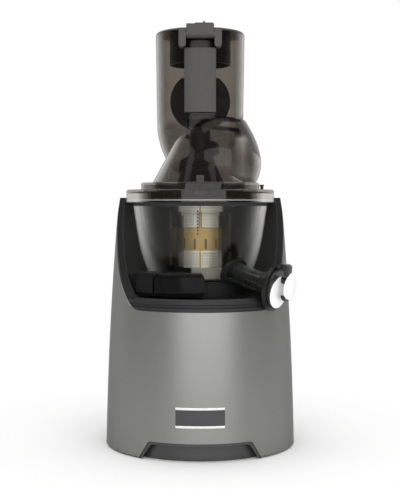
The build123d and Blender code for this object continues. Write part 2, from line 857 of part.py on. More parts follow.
def lid_sensor():
    # A switch pod in the top of the back wall that feels the lid in place.
    r = barrel_radius(wing_height, wing_thickness)
    return block(-6, 6, r + 1.0, r + 3.4, wing_height, wing_height + 1.6) & barrel(
        wing_height, wing_height + 1, 1.5)


# ---- bowl ----
def bowl_form(inset=0.0, low=bowl_low, grow=0.0):
    curve = [(r - inset + grow, z) for r, z in bowl_curve]
    curve[0] = (curve[0][0] + (0 if low == bowl_low else 2.4), low)
    outline = Line((0, low), curve[0]) + Spline(*curve)
    outline += Polyline(curve[-1], (0, bowl_high), (0, low))
    return revolve(Plane.XZ * make_face(outline), Axis.Z)


def idler_place():
    return brush_module * (auger_gear_teeth + idler_teeth) / 2


def post_places():
    r = idler_place()
    return [(r * cos(radians(a)), r * sin(radians(a))) for a in (90, 180, 270)]


def pulp_port(grow=0.0):
    # Slot from the bowl into the pulp duct.
    inner = bowl_curve[0][0] - 7.5
    return Rot(0, 0, -16) * block(-8 + grow, 8 - grow, -pulp_inner - 6, -inner, bowl_low + bowl_floor, 185.0)


def bowl():
    body = bowl_form() - bowl_form(bowl_wall, bowl_low + bowl_floor)
    body -= rod(bowl_hole_radius, 0, BIG)
    body -= along(spout_plane, spout_bore, -60, -30)
    body -= pulp_port()
    floor = bowl_low + bowl_floor
    for x, y in post_places():
        body += rod(2.5, floor, strainer_low, x, y)
    return body + rod(2.0, floor, floor + brush_gear_width, idler_place(), 0)


def bowl_seal():
    return pipe(bowl_hole_radius, drive_shaft_radius + 0.15, bowl_low, bowl_low + bowl_floor)


def brush_idler():
    low = bowl_low + bowl_floor + part_gap
    wheel = gear(idler_teeth, brush_module, low, brush_gear_width, idler_place(), 0,
                 180 + 180 / idler_teeth)
    return wheel - rod(2.0 + running_fit, 0, BIG, idler_place(), 0)


def strainer_frame():
    inner = strainer_radius - strainer_rib
    floor_top = strainer_low + strainer_floor
    frame = pipe(strainer_radius, 14.6, strainer_low, floor_top)
    frame += pipe(strainer_radius, inner, floor_top, floor_top + 6)
    frame += pipe(strainer_radius, inner, band_low, band_high)
    frame += pipe(strainer_radius, inner, strainer_high - 6.5, strainer_high)
    frame += pipe(strainer_rim, inner, strainer_high - 3, strainer_high)
    ring = pipe(strainer_radius, inner, floor_top, strainer_high - 1)
    for k in range(strainer_ribs):
        rib = Rot(0, 0, 360 * k / strainer_ribs) * block(-rib_width / 2, rib_width / 2, -40, 0, 150, 300)
        frame += ring & rib
    slot = block(-slot_width / 2, slot_width / 2, -strainer_rim, -inner + 1, slot_low, slot_high)
    for k in range(band_slots):
        frame -= Rot(0, 0, 360 * (k + 0.5) / band_slots) * slot
    return frame


def strainer_mesh():
    outer = strainer_radius - strainer_rib
    return pipe(outer, outer - mesh_thickness, strainer_low + strainer_floor, strainer_high)


def brush_frame():
    inner = strainer_radius + brush_gap
    low = bowl_low + bowl_floor + part_gap
    wheel = Pos(0, 0, low) * extrude(
        Circle(brush_outer) - Rot(0, 0, 180 / brush_gear_teeth) * gear_face(
            brush_gear_teeth, brush_module, -gear_backlash, 0.35),
        amount=brush_gear_width)
    frame = wheel + pipe(brush_outer, inner, low + brush_gear_width, brush_low_ring)
    frame += pipe(brush_outer, inner, brush_top_low, brush_top_high)
    ring = pipe(brush_outer, inner + 0.6, brush_low_ring - 1, brush_top_low + 1)
    for angle in brush_posts:
        post = Rot(0, 0, angle) * block(-post_width / 2, post_width / 2, -40, 0, 150, 300)
        frame += ring & post
    return frame


def brush_blades():
    # Soft strips that stand against one side of each post and wipe the strainer and the bowl.
    inner = strainer_radius + part_gap
    strips = []
    for angle in brush_posts:
        strip = block(post_width / 2, post_width / 2 + blade_thickness, -blade_reach, -inner,
                      brush_low_ring, brush_top_low)
        strips.append(Rot(0, 0, angle) * strip)
    return group(strips)


# ---- auger ----
def flight(pitch, low, high, root, reach, start, half):
    path = Helix(pitch=pitch, height=high - low, radius=root)
    plane = Plane(origin=path @ 0, z_dir=path % 0, x_dir=(1, 0, 0))
    inward, outward = 4.0, reach - root
    wide, thin = half
    shape = Polygon((-inward, -wide), (outward, -thin), (outward, thin), (-inward, wide), align=None)
    return Pos(0, 0, low) * Rot(0, 0, start) * sweep(plane * shape, path=path, is_frenet=True)


def auger():
    reach = strainer_radius - strainer_rib - mesh_thickness - auger_clearance
    gear_low = bowl_low + bowl_floor + part_gap
    gear_root = brush_module * (auger_gear_teeth / 2 - gear_dedendum)
    body_low = strainer_low + strainer_floor + 0.6
    core = turned([
        (0, gear_low), (gear_root, gear_low), (gear_root, gear_low + brush_gear_width),
        (12.5, gear_low + brush_gear_width), (12.5, body_low), (auger_core_low, body_low),
        (auger_core_mid, 250), (auger_core_mid - 1, 262), (auger_neck, auger_neck_low),
        (auger_neck - 1, auger_shoulder), (auger_pin_radius, auger_shoulder + 0.5),
        (auger_pin_radius, auger_pin_top - 1), (auger_pin_radius - 1, auger_pin_top), (0, auger_pin_top),
    ])
    envelope = turned([
        (0, body_low), (reach, body_low), (reach, press_flight_high), (24.5, 288), (19.0, cut_flight_high),
        (0, cut_flight_high),
    ])
    press = (press_flight_pitch, press_flight_low, press_flight_high, auger_core_mid, reach + 2)
    flights = flight(*press, 0, press_flight_half) + flight(*press, 180, press_flight_half)
    cutter = flight(cut_flight_pitch, cut_flight_low, cut_flight_high, auger_neck, reach, 200,
                    cut_flight_half)
    body = core + (flights & envelope) + (cutter & envelope)
    body += gear(auger_gear_teeth, brush_module, gear_low, brush_gear_width)
    socket = extrude(RegularPolygon((drive_hex + 0.3) / 2, 6, major_radius=False), amount=drive_top + 2)
    return body - socket


# ---- lid and hopper ----
def lid():
    t = lid_wall
    rib_out, rib_in = bowl_curve[-1][0] - 0.3, bowl_curve[-1][0] - t - 0.3
    under = lid_ring_top - t
    points = [
        (lid_radius - t, lid_low), (lid_radius, lid_low), (lid_radius, lid_ring_top - 1.3),
        (lid_radius - 1.2, lid_ring_top), (step_radius, lid_ring_top), (step_radius, step_top - 1),
        (step_radius - 1, step_top), (lid_mouth, step_top), (funnel_radius, funnel_low),
        (funnel_radius + t, funnel_low), (lid_mouth + 1.6, step_top - t), (step_radius - t, step_top - t),
        (step_radius - t, under), (rib_in, under), (rib_in, lid_low), (rib_out, lid_low),
        (rib_out, under), (lid_radius - t, under),
    ]
    body = turned(points)
    return body + block(-4, 4, -step_radius + 1.5, -step_radius + 4.5, step_top - 1, step_top + 7)


def lid_gasket():
    outer = bowl_curve[-1][0]
    return pipe(outer - 0.1, outer - bowl_wall - 0.5, bowl_high, lid_low)


def lid_locks():
    # Four dark locking ramps in the hollow of the lid's ring.
    inner, outer = bowl_curve[-1][0] + 0.6, lid_radius - lid_wall
    ring = pipe(outer, inner, lid_low + 2.0, lid_ring_top - lid_wall)
    blocks = []
    for angle in (-32, 32, 148, 212):
        blocks.append(ring & (Rot(0, 0, angle) * block(-12, 12, -BIG, 0, 0, BIG)))
    return group(blocks)


def lid_marks():
    # A dark oval thumb mark on the front of the ring, and a stop stud on its right.
    oval = extrude(Plane.XZ * Pos(0, 269.0) * Ellipse(8.8, 2.3), amount=BIG / 2)
    mark = pipe(lid_radius + 0.5, lid_radius, lid_low, lid_ring_top - 1.4) & oval
    stud = rod(1.8, lid_ring_top, lid_ring_top + 4, step_radius + 2.8, 0)
    stud += rod(2.4, lid_ring_top + 4, lid_ring_top + 5.6, step_radius + 2.8, 0)
    return group([mark, stud])


def chute_outer(inset=0.0, extra=0.0):
    return turned([
        (0, chute_shoulder), (chute_low_radius - inset, chute_shoulder),
        (chute_top_radius - inset, chute_top + extra), (0, chute_top + extra),
    ], 0, chute_back)


def belly(inset=0.0):
    arc = EllipticalCenterArc((0, chute_shoulder), chute_low_radius - inset, belly_depth - inset,
                              start_angle=-90, arc_size=90)
    face = make_face(arc + Polyline(arc @ 1, (0, chute_shoulder), arc @ 0))
    return Pos(0, chute_back, 0) * revolve(Plane.XZ * face, Axis.Z)


def front_cone(inset=0.0):
    lean = (cone_low_radius - cone_top_radius) / (cone_top - cone_low)
    side = inset * sqrt(1 + lean ** 2)
    low = step_top - (1.0 if inset else 0.0)
    top = cone_top - inset
    r_low = cone_low_radius + lean * (cone_low - low) - side
    r_top = cone_low_radius - lean * (top - cone_low) - side
    return turned([(0, low), (r_low, low), (r_top, top), (0, top)])


def bulge(inset=0.0):
    low = step_top - (1.0 if inset else 0.0)
    last = len(bulge_curve) - 1
    points = [(r - inset, z - (inset if k == last else 0)) for k, (r, z) in enumerate(bulge_curve)]
    points[0] = (points[0][0], low)
    outline = Line((0, low), points[0]) + Spline(*points) + Polyline(points[-1], (0, points[-1][1]), (0, low))
    return Pos(bulge_x, bulge_y, 0) * revolve(Plane.XZ * make_face(outline), Axis.Z)


def hopper():
    outer = chute_outer() + belly() + front_cone() + bulge()
    inner = chute_outer(hopper_wall, 1) + belly(hopper_wall) + front_cone(hopper_wall) + bulge(hopper_wall)
    shell = outer - inner
    return shell & block(-BIG, BIG, -BIG, BIG, step_top, BIG * 2)


def auger_socket():
    # The black bearing cup for the auger's top pin, bracketed off the chute's front wall.
    cup = rod(socket_radius, auger_shoulder + 1.5, socket_high) - rod(
        auger_pin_radius + running_fit, 0, auger_pin_top + 1)
    bridge = block(-9, 9, -chute_low_radius, 0, cone_top + 1.0, socket_high) & chute_outer(hopper_wall + 0.03)
    bridge -= rod(auger_pin_radius + running_fit, 0, auger_pin_top + 1)
    return cup + bridge


def front_bar():
    # A grey strip down the chute's front with a crowned face.
    front = chute_back - chute_top_radius - bar_proud
    crown = 62.0
    face_rod = rod(crown, bar_low, bar_high, 0, front + crown)
    strip = block(-bar_half, bar_half, front - 1, chute_back - 20, bar_low, bar_high) & face_rod
    return strip - chute_outer()


def hinge_arms():
    arms = []
    mid, half = (arm_inner + arm_outer) / 2, (arm_outer - arm_inner) / 2
    for side in (-1, 1):
        face = Pos(side * mid, (arm_low + half + arm_high) / 2) * Rectangle(
            2 * half, arm_high - arm_low - half)
        face += Pos(side * mid, arm_low + half) * Circle(half)
        arm = extrude(Plane.XZ * face, amount=-hinge_y + knuckle_radius)
        arm -= chute_outer()
        arm = arm & block(-BIG, BIG, -BIG, -4, 0, BIG * 2)
        arms.append(arm - across(hinge_pin_radius, BIG / 4, hinge_y, hinge_height))
    return group(arms)


def hinge_pin():
    return across(hinge_pin_radius, arm_outer - 1.0, hinge_y, hinge_height)


def hinge_block():
    front = hinge_y - knuckle_radius
    block_body = across(knuckle_radius, hinge_half, hinge_y, hinge_height)
    block_body += block(-hinge_half, hinge_half, front, hinge_y, hinge_height, hinge_block_top)
    cover_top = chute_top + cover_gap + cover_thickness
    block_body += block(-hinge_half, hinge_half, front, -12, cover_top, hinge_block_top)
    block_body += block(-5.5, 13.5, front + 2, -16, hinge_block_top, hinge_block_top + 1.2)
    nub_low, nub_high = hinge_block_top + 1.2, hinge_block_top + 4.2
    block_body += turned([(0, nub_low), (1.8, nub_low), (0.7, nub_high), (0, nub_high)], 4.0, -22)
    return block_body - across(hinge_pin_radius + running_fit, BIG / 4, hinge_y, hinge_height)


def gate_collar():
    low, top = chute_top + cover_gap, chute_top + cover_gap + cover_thickness
    tube = pipe(collar_radius, collar_radius - collar_wall, collar_low, top, 0, chute_back)
    edge = chute_top_radius - 0.2
    cover = turned([
        (collar_radius - collar_wall, low), (edge, low), (edge, low + 0.8), (edge - 1.7, top),
        (collar_radius - collar_wall, top),
    ], 0, chute_back)
    return tube + cover


def flip_gate():
    middle = Pos(0, gate_y, gate_hinge_height - gate_radius)
    disc = middle * Rot(90, 0, 0) * Cylinder(gate_radius, gate_thickness)
    relief = gate_hinge_height - 7.4
    for side in (-1, 1):
        x0, x1 = sorted((side * 11.6, side * 40))
        disc -= block(x0, x1, 0, BIG, relief, BIG * 2)
    disc += across(2.6, 11.4, gate_y, gate_hinge_height)
    return disc - across(gate_pin_radius + running_fit, 30, gate_y, gate_hinge_height)


def gate_bracket():
    ears = []
    for side in (-1, 1):
        x0, x1 = sorted((side * 12.0, side * 15.2))
        ears.append(block(x0, x1, gate_y - 4.4, BIG / 2, gate_hinge_height - 3.6, gate_hinge_height + 3.0))
    bar = block(-15.2, 15.2, gate_y + 10, BIG / 2, gate_hinge_height - 3.6, gate_hinge_height + 3.0)
    body = (ears[0] + ears[1] + bar) & chute_outer(hopper_wall + 0.03)
    return body - across(gate_pin_radius, 30, gate_y, gate_hinge_height)


def gate_pin():
    return across(gate_pin_radius, 14.6, gate_y, gate_hinge_height)


# ---- juice spout and cap ----
def juice_spout():
    tube = along(spout_plane, spout_radius, -60, -cap_ring_thickness) - along(spout_plane, spout_bore, -62, 0)
    return tube - bowl_form() - rod(seat_radius + 3.0, 0, BIG)


def spout_flange():
    band = bowl_form(grow=spout_flange_thickness) - bowl_form()
    ring = along(spout_plane, spout_flange_radius, -62, -25) - along(spout_plane, spout_radius, -70, 0)
    return band & ring & block(0, BIG, -BIG, 0, bowl_low + 0.2, BIG)


def spout_collar():
    ring = along(cap_plane, cap_ring_radius, -cap_ring_thickness, 0)
    neck = along(spout_plane, spout_neck_radius, -16.5, -1.0)
    body = ring + neck
    body -= along(spout_plane, spout_radius, -30, -cap_ring_thickness)
    body -= along(spout_plane, spout_bore, -30, 6)
    body = body & plane_block(cap_plane, -60, 60, -60, 60, -60, 0)
    for side in (-1, 1):
        x0, x1 = sorted((side * (cap_hinge_half + ear_gap), side * (cap_hinge_half + ear_gap + ear_width)))
        body += plane_block(cap_plane, x0, x1, cap_plate_radius + 0.5, cap_hinge_up + 2.6,
                            -cap_ring_thickness, cap_hinge_out + 2.4)
    return body - cap_hinge_rod(cap_hinge_pin, 20)


def cap_hinge_rod(radius, half):
    bar = Pos(0, cap_hinge_up, cap_hinge_out) * Rot(0, 90, 0) * Cylinder(radius, 2 * half)
    return cap_plane * bar


def cap_pin():
    return cap_hinge_rod(cap_hinge_pin, cap_hinge_half + ear_gap + ear_width)


def teardrop(radius, tip):
    # A round plate drawn out to a rounded point upwards.
    small = radius * 0.3
    round_part = Circle(radius) + Pos(0, tip - small) * Circle(small)
    lean = asin((radius - small) / (tip - small))
    a, b = radius * cos(lean), radius * sin(lean)
    c, d = small * cos(lean), tip - small + small * sin(lean)
    return round_part + make_face(Polyline((-a, b), (a, b), (c, d), (-c, d), close=True))


def cap_arm():
    # A hook over the top of the cap, drawn in (out, up), that turns on the hinge pin.
    up, out = cap_hinge_up, cap_hinge_out
    end = lever_stand_off - 0.1
    points = [
        (out, up + cap_knuckle), (out + 3.5, up + cap_knuckle), (end - 2.5, up + 1.0), (end, up - 2.5),
        (end, up - 8.0), (end - 2.4, up - 8.0), (end - 3.6, up - 3.6), (out + 1.0, up - cap_knuckle),
        (part_gap, up - cap_knuckle), (part_gap, cap_plate_radius - 3.5),
        (cap_plate_thickness, cap_plate_radius - 3.5),
        (cap_plate_thickness, up - 1.5), (out, up - 1.0),
    ]
    face = make_face(Polyline(*points, close=True))
    sheet = Plane(origin=cap_plane.origin, x_dir=cap_plane.z_dir, z_dir=cap_plane.x_dir)
    return extrude(sheet * face, amount=cap_hinge_half, both=True)


def cap_plate():
    # The black stopper plate with the arm and the stem that carry the lever.
    body = along(cap_plane, cap_plate_radius, part_gap, cap_plate_thickness)
    body += cap_hinge_rod(cap_knuckle, cap_hinge_half) + cap_arm()
    body += along(cap_plane, stem_radius, cap_plate_thickness, lever_stand_off, *stem_place)
    return body - cap_hinge_rod(cap_hinge_pin + running_fit, 30)


def cap_seal():
    # A soft plug on the back of the plate that enters the spout's bore.
    return along(cap_plane, plug_radius, -plug_length, part_gap)


def cap_face():
    low = cap_plate_thickness
    plate = extrude(Pos(0, -2.6) * teardrop(cap_face_radius, 22.0), amount=cap_face_thickness)
    plate = cap_plane * (Pos(0, 0, low) * plate)
    return plate - along(cap_plane, stem_radius, 0, 30, *stem_place)


def cap_lever():
    plate = extrude(Pos(2.0, 1.0) * teardrop(lever_radius, 17.5), amount=lever_thickness)
    return cap_plane * (Pos(0, 0, lever_stand_off) * plate)


def lever_grip():
    # A dark rib under the lever's lower edge for the fingertip.
    ring = Circle(lever_radius - 0.6) - Circle(lever_radius - 3.0)
    lower = Pos(2.0, 1.0) * ring & Pos(0, -30) * Rectangle(80, 50)
    return cap_plane * (Pos(0, 0, lever_stand_off - 3.4) * extrude(lower, amount=3.4))


# ---- pulp outlet ----
def sector(a0, a1):
    # The wedge between two azimuths, measured from the front towards the left.
    reach = BIG / 2
    steps = 8
    points = [(0, 0)]
    for k in range(steps + 1):
        a = radians(a0 + (a1 - a0) * k / steps)
        points.append((-reach * sin(a), -reach * cos(a)))
    return extrude(make_face(Polyline(*points, close=True)), amount=BIG)


def duct_form(inset=0.0):
    width, tall = pulp_outer - pulp_inner - 2 * inset, pulp_high - pulp_low - 2 * inset
    mid_r, mid_z = (pulp_inner + pulp_outer) / 2, (pulp_low + pulp_high) / 2
    face = Pos(mid_r, mid_z) * RectangleRounded(width, tall, max(0.8, 5.0 - inset))
    return revolve(Plane.XZ * face, Axis.Z)


flap_plane = Plane(
    origin=(-flap_radius * sin(radians(flap_azimuth)), -flap_radius * cos(radians(flap_azimuth)), 0),
    x_dir=(-cos(radians(flap_azimuth)), sin(radians(flap_azimuth)), 0),
    z_dir=(0, 0, 1),
)


def nose_form(inset=0.0):
    # The duct's closed end seen from the front: a run to the left with a rounded right end.
    tall, left = pulp_high - pulp_low + 4 * pulp_rib_proud, -pulp_outer
    face = Pos((left + pulp_nose) / 2, (pulp_low + pulp_high) / 2) * RectangleRounded(
        pulp_nose - left - 2 * inset, tall - 2 * inset, pulp_nose_radius - inset)
    return extrude(Plane.XZ * face, amount=BIG / 2)


def duct_band(start, end):
    # A raised rib round the duct between two azimuths.
    return (duct_form(-pulp_rib_proud) & sector(start, end)) - duct_form(pulp_wall / 2)


def pulp_duct():
    body = duct_form() & sector(pulp_start, pulp_seam - 0.01) & nose_form()
    for start, end in [*pulp_ribs, (pulp_seam - pulp_rim, pulp_seam - 0.01)]:
        body += duct_band(start, end)
    body -= duct_form(pulp_wall) & sector(pulp_start, 80) & nose_form(pulp_wall)
    body -= pulp_port()
    body -= bowl_form()
    # A foot that reaches in under the bowl and carries the duct.
    foot = pipe(pulp_inner + 2.5, seat_radius + part_gap, pulp_low + 3, bowl_low - part_gap)
    foot &= sector(2, pulp_seam - 4)
    foot -= duct_form(pulp_wall)
    rise = pipe(seat_radius + 3.2, seat_radius + part_gap, bowl_low - 4, bowl_low) & sector(2, pulp_seam - 4)
    return body + foot + rise - pulp_port()


def pulp_mouth():
    return flap_plane * block(-flap_half - flap_gap, flap_half + flap_gap, -8, 20,
                              flap_low - flap_gap, flap_high + flap_gap)


def pulp_spout():
    body = duct_form() & sector(pulp_seam, pulp_end)
    body += duct_band(pulp_seam, pulp_seam + pulp_rim)
    body -= duct_form(pulp_wall) & sector(pulp_seam - 1, pulp_end - 1.8)
    body -= pulp_mouth()
    body -= flap_plane * block(-flap_half - flap_gap, flap_half + flap_gap, -2.2, 8,
                               flap_high - 1, pulp_high + 1)
    for side in (-1, 1):
        x0, x1 = sorted((side * (flap_half + ear_gap), side * (flap_half + ear_gap + ear_width)))
        ear = flap_plane * block(x0, x1, -5.0, 2.0, flap_pin_height - 4.0, flap_pin_height + 1.6)
        body += ear - duct_form(pulp_wall)
    return body - flap_rod(flap_pin_radius, BIG / 20)


def flap_rod(radius, half):
    return flap_plane * (Pos(0, 0, flap_pin_height) * Rot(0, 90, 0) * Cylinder(radius, 2 * half))


def pulp_flap():
    plate = flap_plane * block(-flap_half, flap_half, -flap_thickness / 2, flap_thickness / 2,
                               flap_low, flap_pin_height)
    plate += flap_rod(flap_knuckle, flap_half)
    return plate - flap_rod(flap_pin_radius + running_fit, BIG / 20)


def flap_pin():
    return flap_rod(flap_pin_radius, flap_half + ear_gap + ear_width)


# ---- fasteners ----
def case_screws():
    # Six screws hold the base plate to the shell, and four hold the gearbox cover to the bay floor.
    pad_low = gearbox_high
    return group(
        [screw(x, y, base_plate_low, 14.0) for x, y in screw_places()]
        + [rod(screw_radius, pad_low, bay_floor_height - bay_floor_thickness, x, y) for x, y in cover_pads()]
    )


def motor_mounts():
    return group(pipe(6.0, 2.2, motor_low - mount_height, motor_low, x, y) for x, y in mount_places())


# ---- write every piece ----
face_plate, edge_rails = name_plate()
pieces = {
    "base_shell": base_shell(),
    "cradle": cradle(),
    "trim_ring": trim_ring(),
    "bay_floor": bay_floor(),
    "base_plate": base_plate(),
    "recess_panel": recess_panel(),
    "grip_insert": grip_insert(),
    "name_plate": face_plate,
    "plate_rails": edge_rails,
    "rubber_feet": rubber_feet(),
    "motor_can": motor_can(),
    "stator_core": stator(),
    "stator_windings": windings(),
    "motor_rotor": motor_rotor(),
    "motor_fan": motor_fan(),
    "gearbox_case": gearbox_case(),
    "gearbox_cover": gearbox_cover(),
    "bearings": bearings(),
    "middle_gear": middle_gear(),
    "output_gear": output_gear(),
    "drive_shaft": drive_shaft(),
    "shaft_seal": shaft_seal(),
    "control_board": control_board(),
    "power_inlet": power_inlet(),
    "switch_bezel": switch_bezel(),
    "switch_rocker": switch_rocker(),
    "lid_sensor": lid_sensor(),
    "case_screws": case_screws(),
    "motor_mounts": motor_mounts(),
    "bowl": bowl(),
    "bowl_seal": bowl_seal(),
    "brush_idler": brush_idler(),
    "strainer_frame": strainer_frame(),
    "strainer_mesh": strainer_mesh(),
    "brush_frame": brush_frame(),
    "brush_blades": brush_blades(),
    "auger": auger(),
    "lid": lid(),
    "lid_gasket": lid_gasket(),
    "lid_locks": lid_locks(),
    "lid_marks": lid_marks(),
    "hopper": hopper(),
    "auger_socket": auger_socket(),
    "front_bar": front_bar(),
    "hinge_arms": hinge_arms(),
    "hinge_pins": group([hinge_pin(), gate_pin()]),
    "gate_hinge_block": hinge_block(),
    "gate_collar": gate_collar(),
    "flip_gate": flip_gate(),
    "gate_bracket": gate_bracket(),
    "juice_spout": juice_spout(),
    "spout_collar": spout_collar(),
    "spout_flange": spout_flange(),
    "spout_cap": group([cap_plate(), lever_grip()]),
    "cap_seal": cap_seal(),
    "cap_trim": group([cap_face(), cap_lever()]),
    "pulp_duct": pulp_duct(),
    "pulp_spout": pulp_spout(),
    "pulp_flap": pulp_flap(),
    "outlet_pins": group([cap_pin(), flap_pin()]),
}
for name, shape in pieces.items():
    save(shape, name)
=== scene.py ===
"""Finish of the upright slow juicer: camera, light, materials and the pieces that are added to the fixed frame."""

from math import cos, radians, sin

import bmesh
import bpy
from mathutils import Matrix, Vector


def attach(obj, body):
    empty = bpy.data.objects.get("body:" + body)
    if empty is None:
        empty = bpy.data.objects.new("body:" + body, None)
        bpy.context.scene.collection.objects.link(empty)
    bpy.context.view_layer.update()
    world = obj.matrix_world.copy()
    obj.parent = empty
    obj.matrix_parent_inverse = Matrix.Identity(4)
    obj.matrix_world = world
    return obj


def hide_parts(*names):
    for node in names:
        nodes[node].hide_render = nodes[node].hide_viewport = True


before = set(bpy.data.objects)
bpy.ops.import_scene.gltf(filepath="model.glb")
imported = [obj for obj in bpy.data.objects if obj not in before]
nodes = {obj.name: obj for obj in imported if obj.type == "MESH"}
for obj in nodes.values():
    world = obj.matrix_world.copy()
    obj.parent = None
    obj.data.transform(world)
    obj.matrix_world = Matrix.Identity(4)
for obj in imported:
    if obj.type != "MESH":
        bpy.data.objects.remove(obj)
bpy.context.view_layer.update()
scene = bpy.context.scene

# Lengths are in metres, or in millimetres times MM.
MM = 0.001

NEAR_BLACK = (0.004, 0.003, 0.002)

# The barrel's outer radius is a + b z + c z z. The lacquer ends between two depths under that skin, and the cradle's
# cut edge lies less than CRADLE_RIM under it.
BARREL_PROFILE = (0.101532, -0.015888, -0.130623)
LACQUER_DEPTH = (0.0007, 0.0013)
CRADLE_RIM = 0.00643
FINE_BORDER = 0.0001

# The hinge block's colour has painted shade below this height, for the shadow under it.
HINGE_FOOT = 0.429

# The brush: the top of its gear, the underside of its top ring, and the width over which the gear looks milky.
BRUSH_GEAR_TOP = 0.1907
BRUSH_RING = 0.2452
BRUSH_FRONT = (-0.009, 0.023)

# The strainer: the slotted band, the underside of its crown, the width across the front where its colour has painted
# light and the width over which it shines, and the holes that its sleeve is punched with.
STRAINER_BAND = (0.2082, 0.2325)
STRAINER_CROWN = 0.2495
STRAINER_LIT = (-0.0225, 0.0235)
STRAINER_SHINE = (-0.015, 0.016)
STEEL_LIGHT, STEEL_HOLE = (0.98, 0.98, 0.92), (0.66, 0.66, 0.60)
HOLE_PITCH = 0.0030
HOLE_INNER, HOLE_OUTER = 0.22, 0.36  # where the metal begins and is whole, in pitches from the hole's centre

# The column of larger holes beside the strainer's front rib.
DOT_PITCH = 0.0034
DOT_RADIUS = 0.00095
DOT_COLUMN_X = -0.0026
DOT_COLUMN = (0.2245, 0.252)

# Clear plastic: how far it has turned away where its dark outline begins and is full, the roughness of its mirror and
# how steeply that grows towards the outline, the most that its wall can hide, the share of haze that is left above a
# height, and two soft borders.
OUTLINE_ZONE = (0.74, 0.88)
CLEAR_POLISH = 0.06
MIRROR_POWER = 4.0
MOST_SOLID = 0.95
LEAST_HAZE = 0.2
HAZE_BORDER = 0.0005
LOWER_RIM_HIGHLIGHT_BORDER = 0.0004

# Patches on the hopper's side bulge: the range along x and its soft border, the same along z, and how much is added
# to the wall's facing there. The first is painted light, more of the pale haze colour on the bulge's right side; the
# second widens the dark outline there.
BULGE_LIGHT_PATCH = ((0.034, 0.049), 0.005, (0.284, 0.330), 0.004, 0.26)
BULGE_RIM = ((0.032, 0.100), 0.008, (0.310, 0.352), 0.006, 0.32)

# Dark lines on the hopper's front where its inner walls meet it: x from and to, the height at the first x, the fall
# per unit of x, the half width, and the strength.
HOPPER_SEAMS = (
    (0.0110, 0.0440, 0.3500, 0.05, 0.0036, 0.85),
    (0.0110, 0.0420, 0.3394, 0.10, 0.0028, 0.85),
    (-0.0145, 0.0125, 0.3442, 0.0, 0.0050, 0.75),
)


# ---- node trees ----
class Term:
    """One value in a node tree. Arithmetic on it adds Math nodes."""

    def __init__(self, owner, socket):
        self.owner, self.socket = owner, socket

    def do(self, operation, *others):
        return self.owner.node("Math", {"operation": operation}, [self, *others])

    def also(self, output):
        """Another output of the node that this value comes from."""
        return Term(self.owner, self.socket.node.outputs[output])

    def __add__(self, other):
        return self.do("ADD", other)

    __radd__ = __add__

    def __sub__(self, other):
        return self.do("SUBTRACT", other)

    def __rsub__(self, other):
        return self.owner.node("Math", {"operation": "SUBTRACT"}, [other, self])

    def __mul__(self, other):
        return self.do("MULTIPLY", other)

    __rmul__ = __mul__

    def __truediv__(self, other):
        return self.do("DIVIDE", other)

    def __gt__(self, other):
        return self.do("GREATER_THAN", other)

    def __lt__(self, other):
        return self.do("LESS_THAN", other)

    def __pow__(self, other):
        return self.do("POWER", other)


class Tree:
    """A node tree, with one method that adds any node to it."""

    def __init__(self, tree):
        self.tree = tree

    def plug(self, socket, value):
        """Link a Term to the socket, or set a plain value on it. A colour of three numbers gets its alpha."""
        if isinstance(value, Term):
            self.tree.links.new(value.socket, socket)
        else:
            wide = hasattr(socket.default_value, "__len__") and len(socket.default_value) == 4
            socket.default_value = (*value, 1.0) if wide and len(value) == 3 else value

    def node(self, kind, settings=None, values=(), output=0):
        """Add a node, make its settings, then give its sockets their values or links."""
        item = self.tree.nodes.new("ShaderNode" + kind)
        for key, value in (settings or {}).items():
            setattr(item, key, value)
        for key, value in values.items() if isinstance(values, dict) else enumerate(values):
            self.plug(item.inputs[key], value)
        return Term(self, item.outputs[output])

    def level(self, factor, start, end):
        """A number that runs from start to end with factor."""
        return self.node("MapRange", values={"Value": factor, "To Min": start, "To Max": end})

    def smooth(self, value, low, high, start=0.0, end=1.0):
        """A number that eases from start to end while value goes from low to high."""
        return self.node("MapRange", {"interpolation_type": "SMOOTHSTEP"}, {
            "Value": value, "From Min": low, "From Max": high, "To Min": start, "To Max": end})

    def within(self, value, low, high, soft=0.0025):
        """1 where value lies between low and high, and 0 beyond, with soft borders."""
        far = (value - (low + high) / 2).do("ABSOLUTE")
        half = (high - low) / 2
        return self.smooth(far, half - soft, half + soft, 1.0, 0.0)


class Finish(Tree):
    """A material with one Principled shader, whose fixed sockets are given by name."""

    def __init__(self, name, **fixed):
        self.material = bpy.data.materials.new(name)
        self.material.use_nodes = True
        super().__init__(self.material.node_tree)
        self.shader = self.tree.nodes["Principled BSDF"]
        for socket, value in fixed.items():
            self.feed(socket.replace("_", " "), value)

    def feed(self, socket, value):
        self.plug(self.shader.inputs[socket], value)

    def place(self):
        return self.node("TexCoord", output="Object")

    def axes(self):
        """The three coordinates of a point on the piece."""
        x = self.node("SeparateXYZ", values=[self.place()])
        return x, x.also(1), x.also(2)

    def height(self):
        """The z coordinate of a point on the piece."""
        return self.node("SeparateXYZ", values=[self.place()], output=2)

    def noise(self, scale, detail=2.0, roughness=0.5):
        return self.node("TexNoise", values={
            "Vector": self.place(), "Scale": scale, "Detail": detail, "Roughness": roughness})

    def tone(self, factor, start, end):
        """A colour that runs from start to end with factor."""
        return self.node("Mix", {"data_type": "RGBA"}, {0: factor, 6: start, 7: end}, output=2)

    def soft_edge(self, radius=0.0006):
        return self.node("Bevel", {"samples": 4}, {"Radius": radius})

    def bump(self, height, strength, distance, normal=None):
        values = {"Strength": strength, "Distance": distance, "Height": height}
        if normal:
            values["Normal"] = normal
        return self.node("Bump", values=values)

    def surface(self):
        return Term(self, self.shader.outputs[0])

    def matt(self, colour):
        return self.node("BsdfDiffuse", values={"Color": colour})

    def see_through(self, tint):
        return self.node("BsdfTransparent", values={"Color": tint})

    def mix(self, factor, first, second):
        """A shader that runs from the first to the second with factor."""
        return self.node("MixShader", values=[factor, first, second])

    def show(self, shader):
        self.plug(self.tree.nodes["Material Output"].inputs["Surface"], shader)


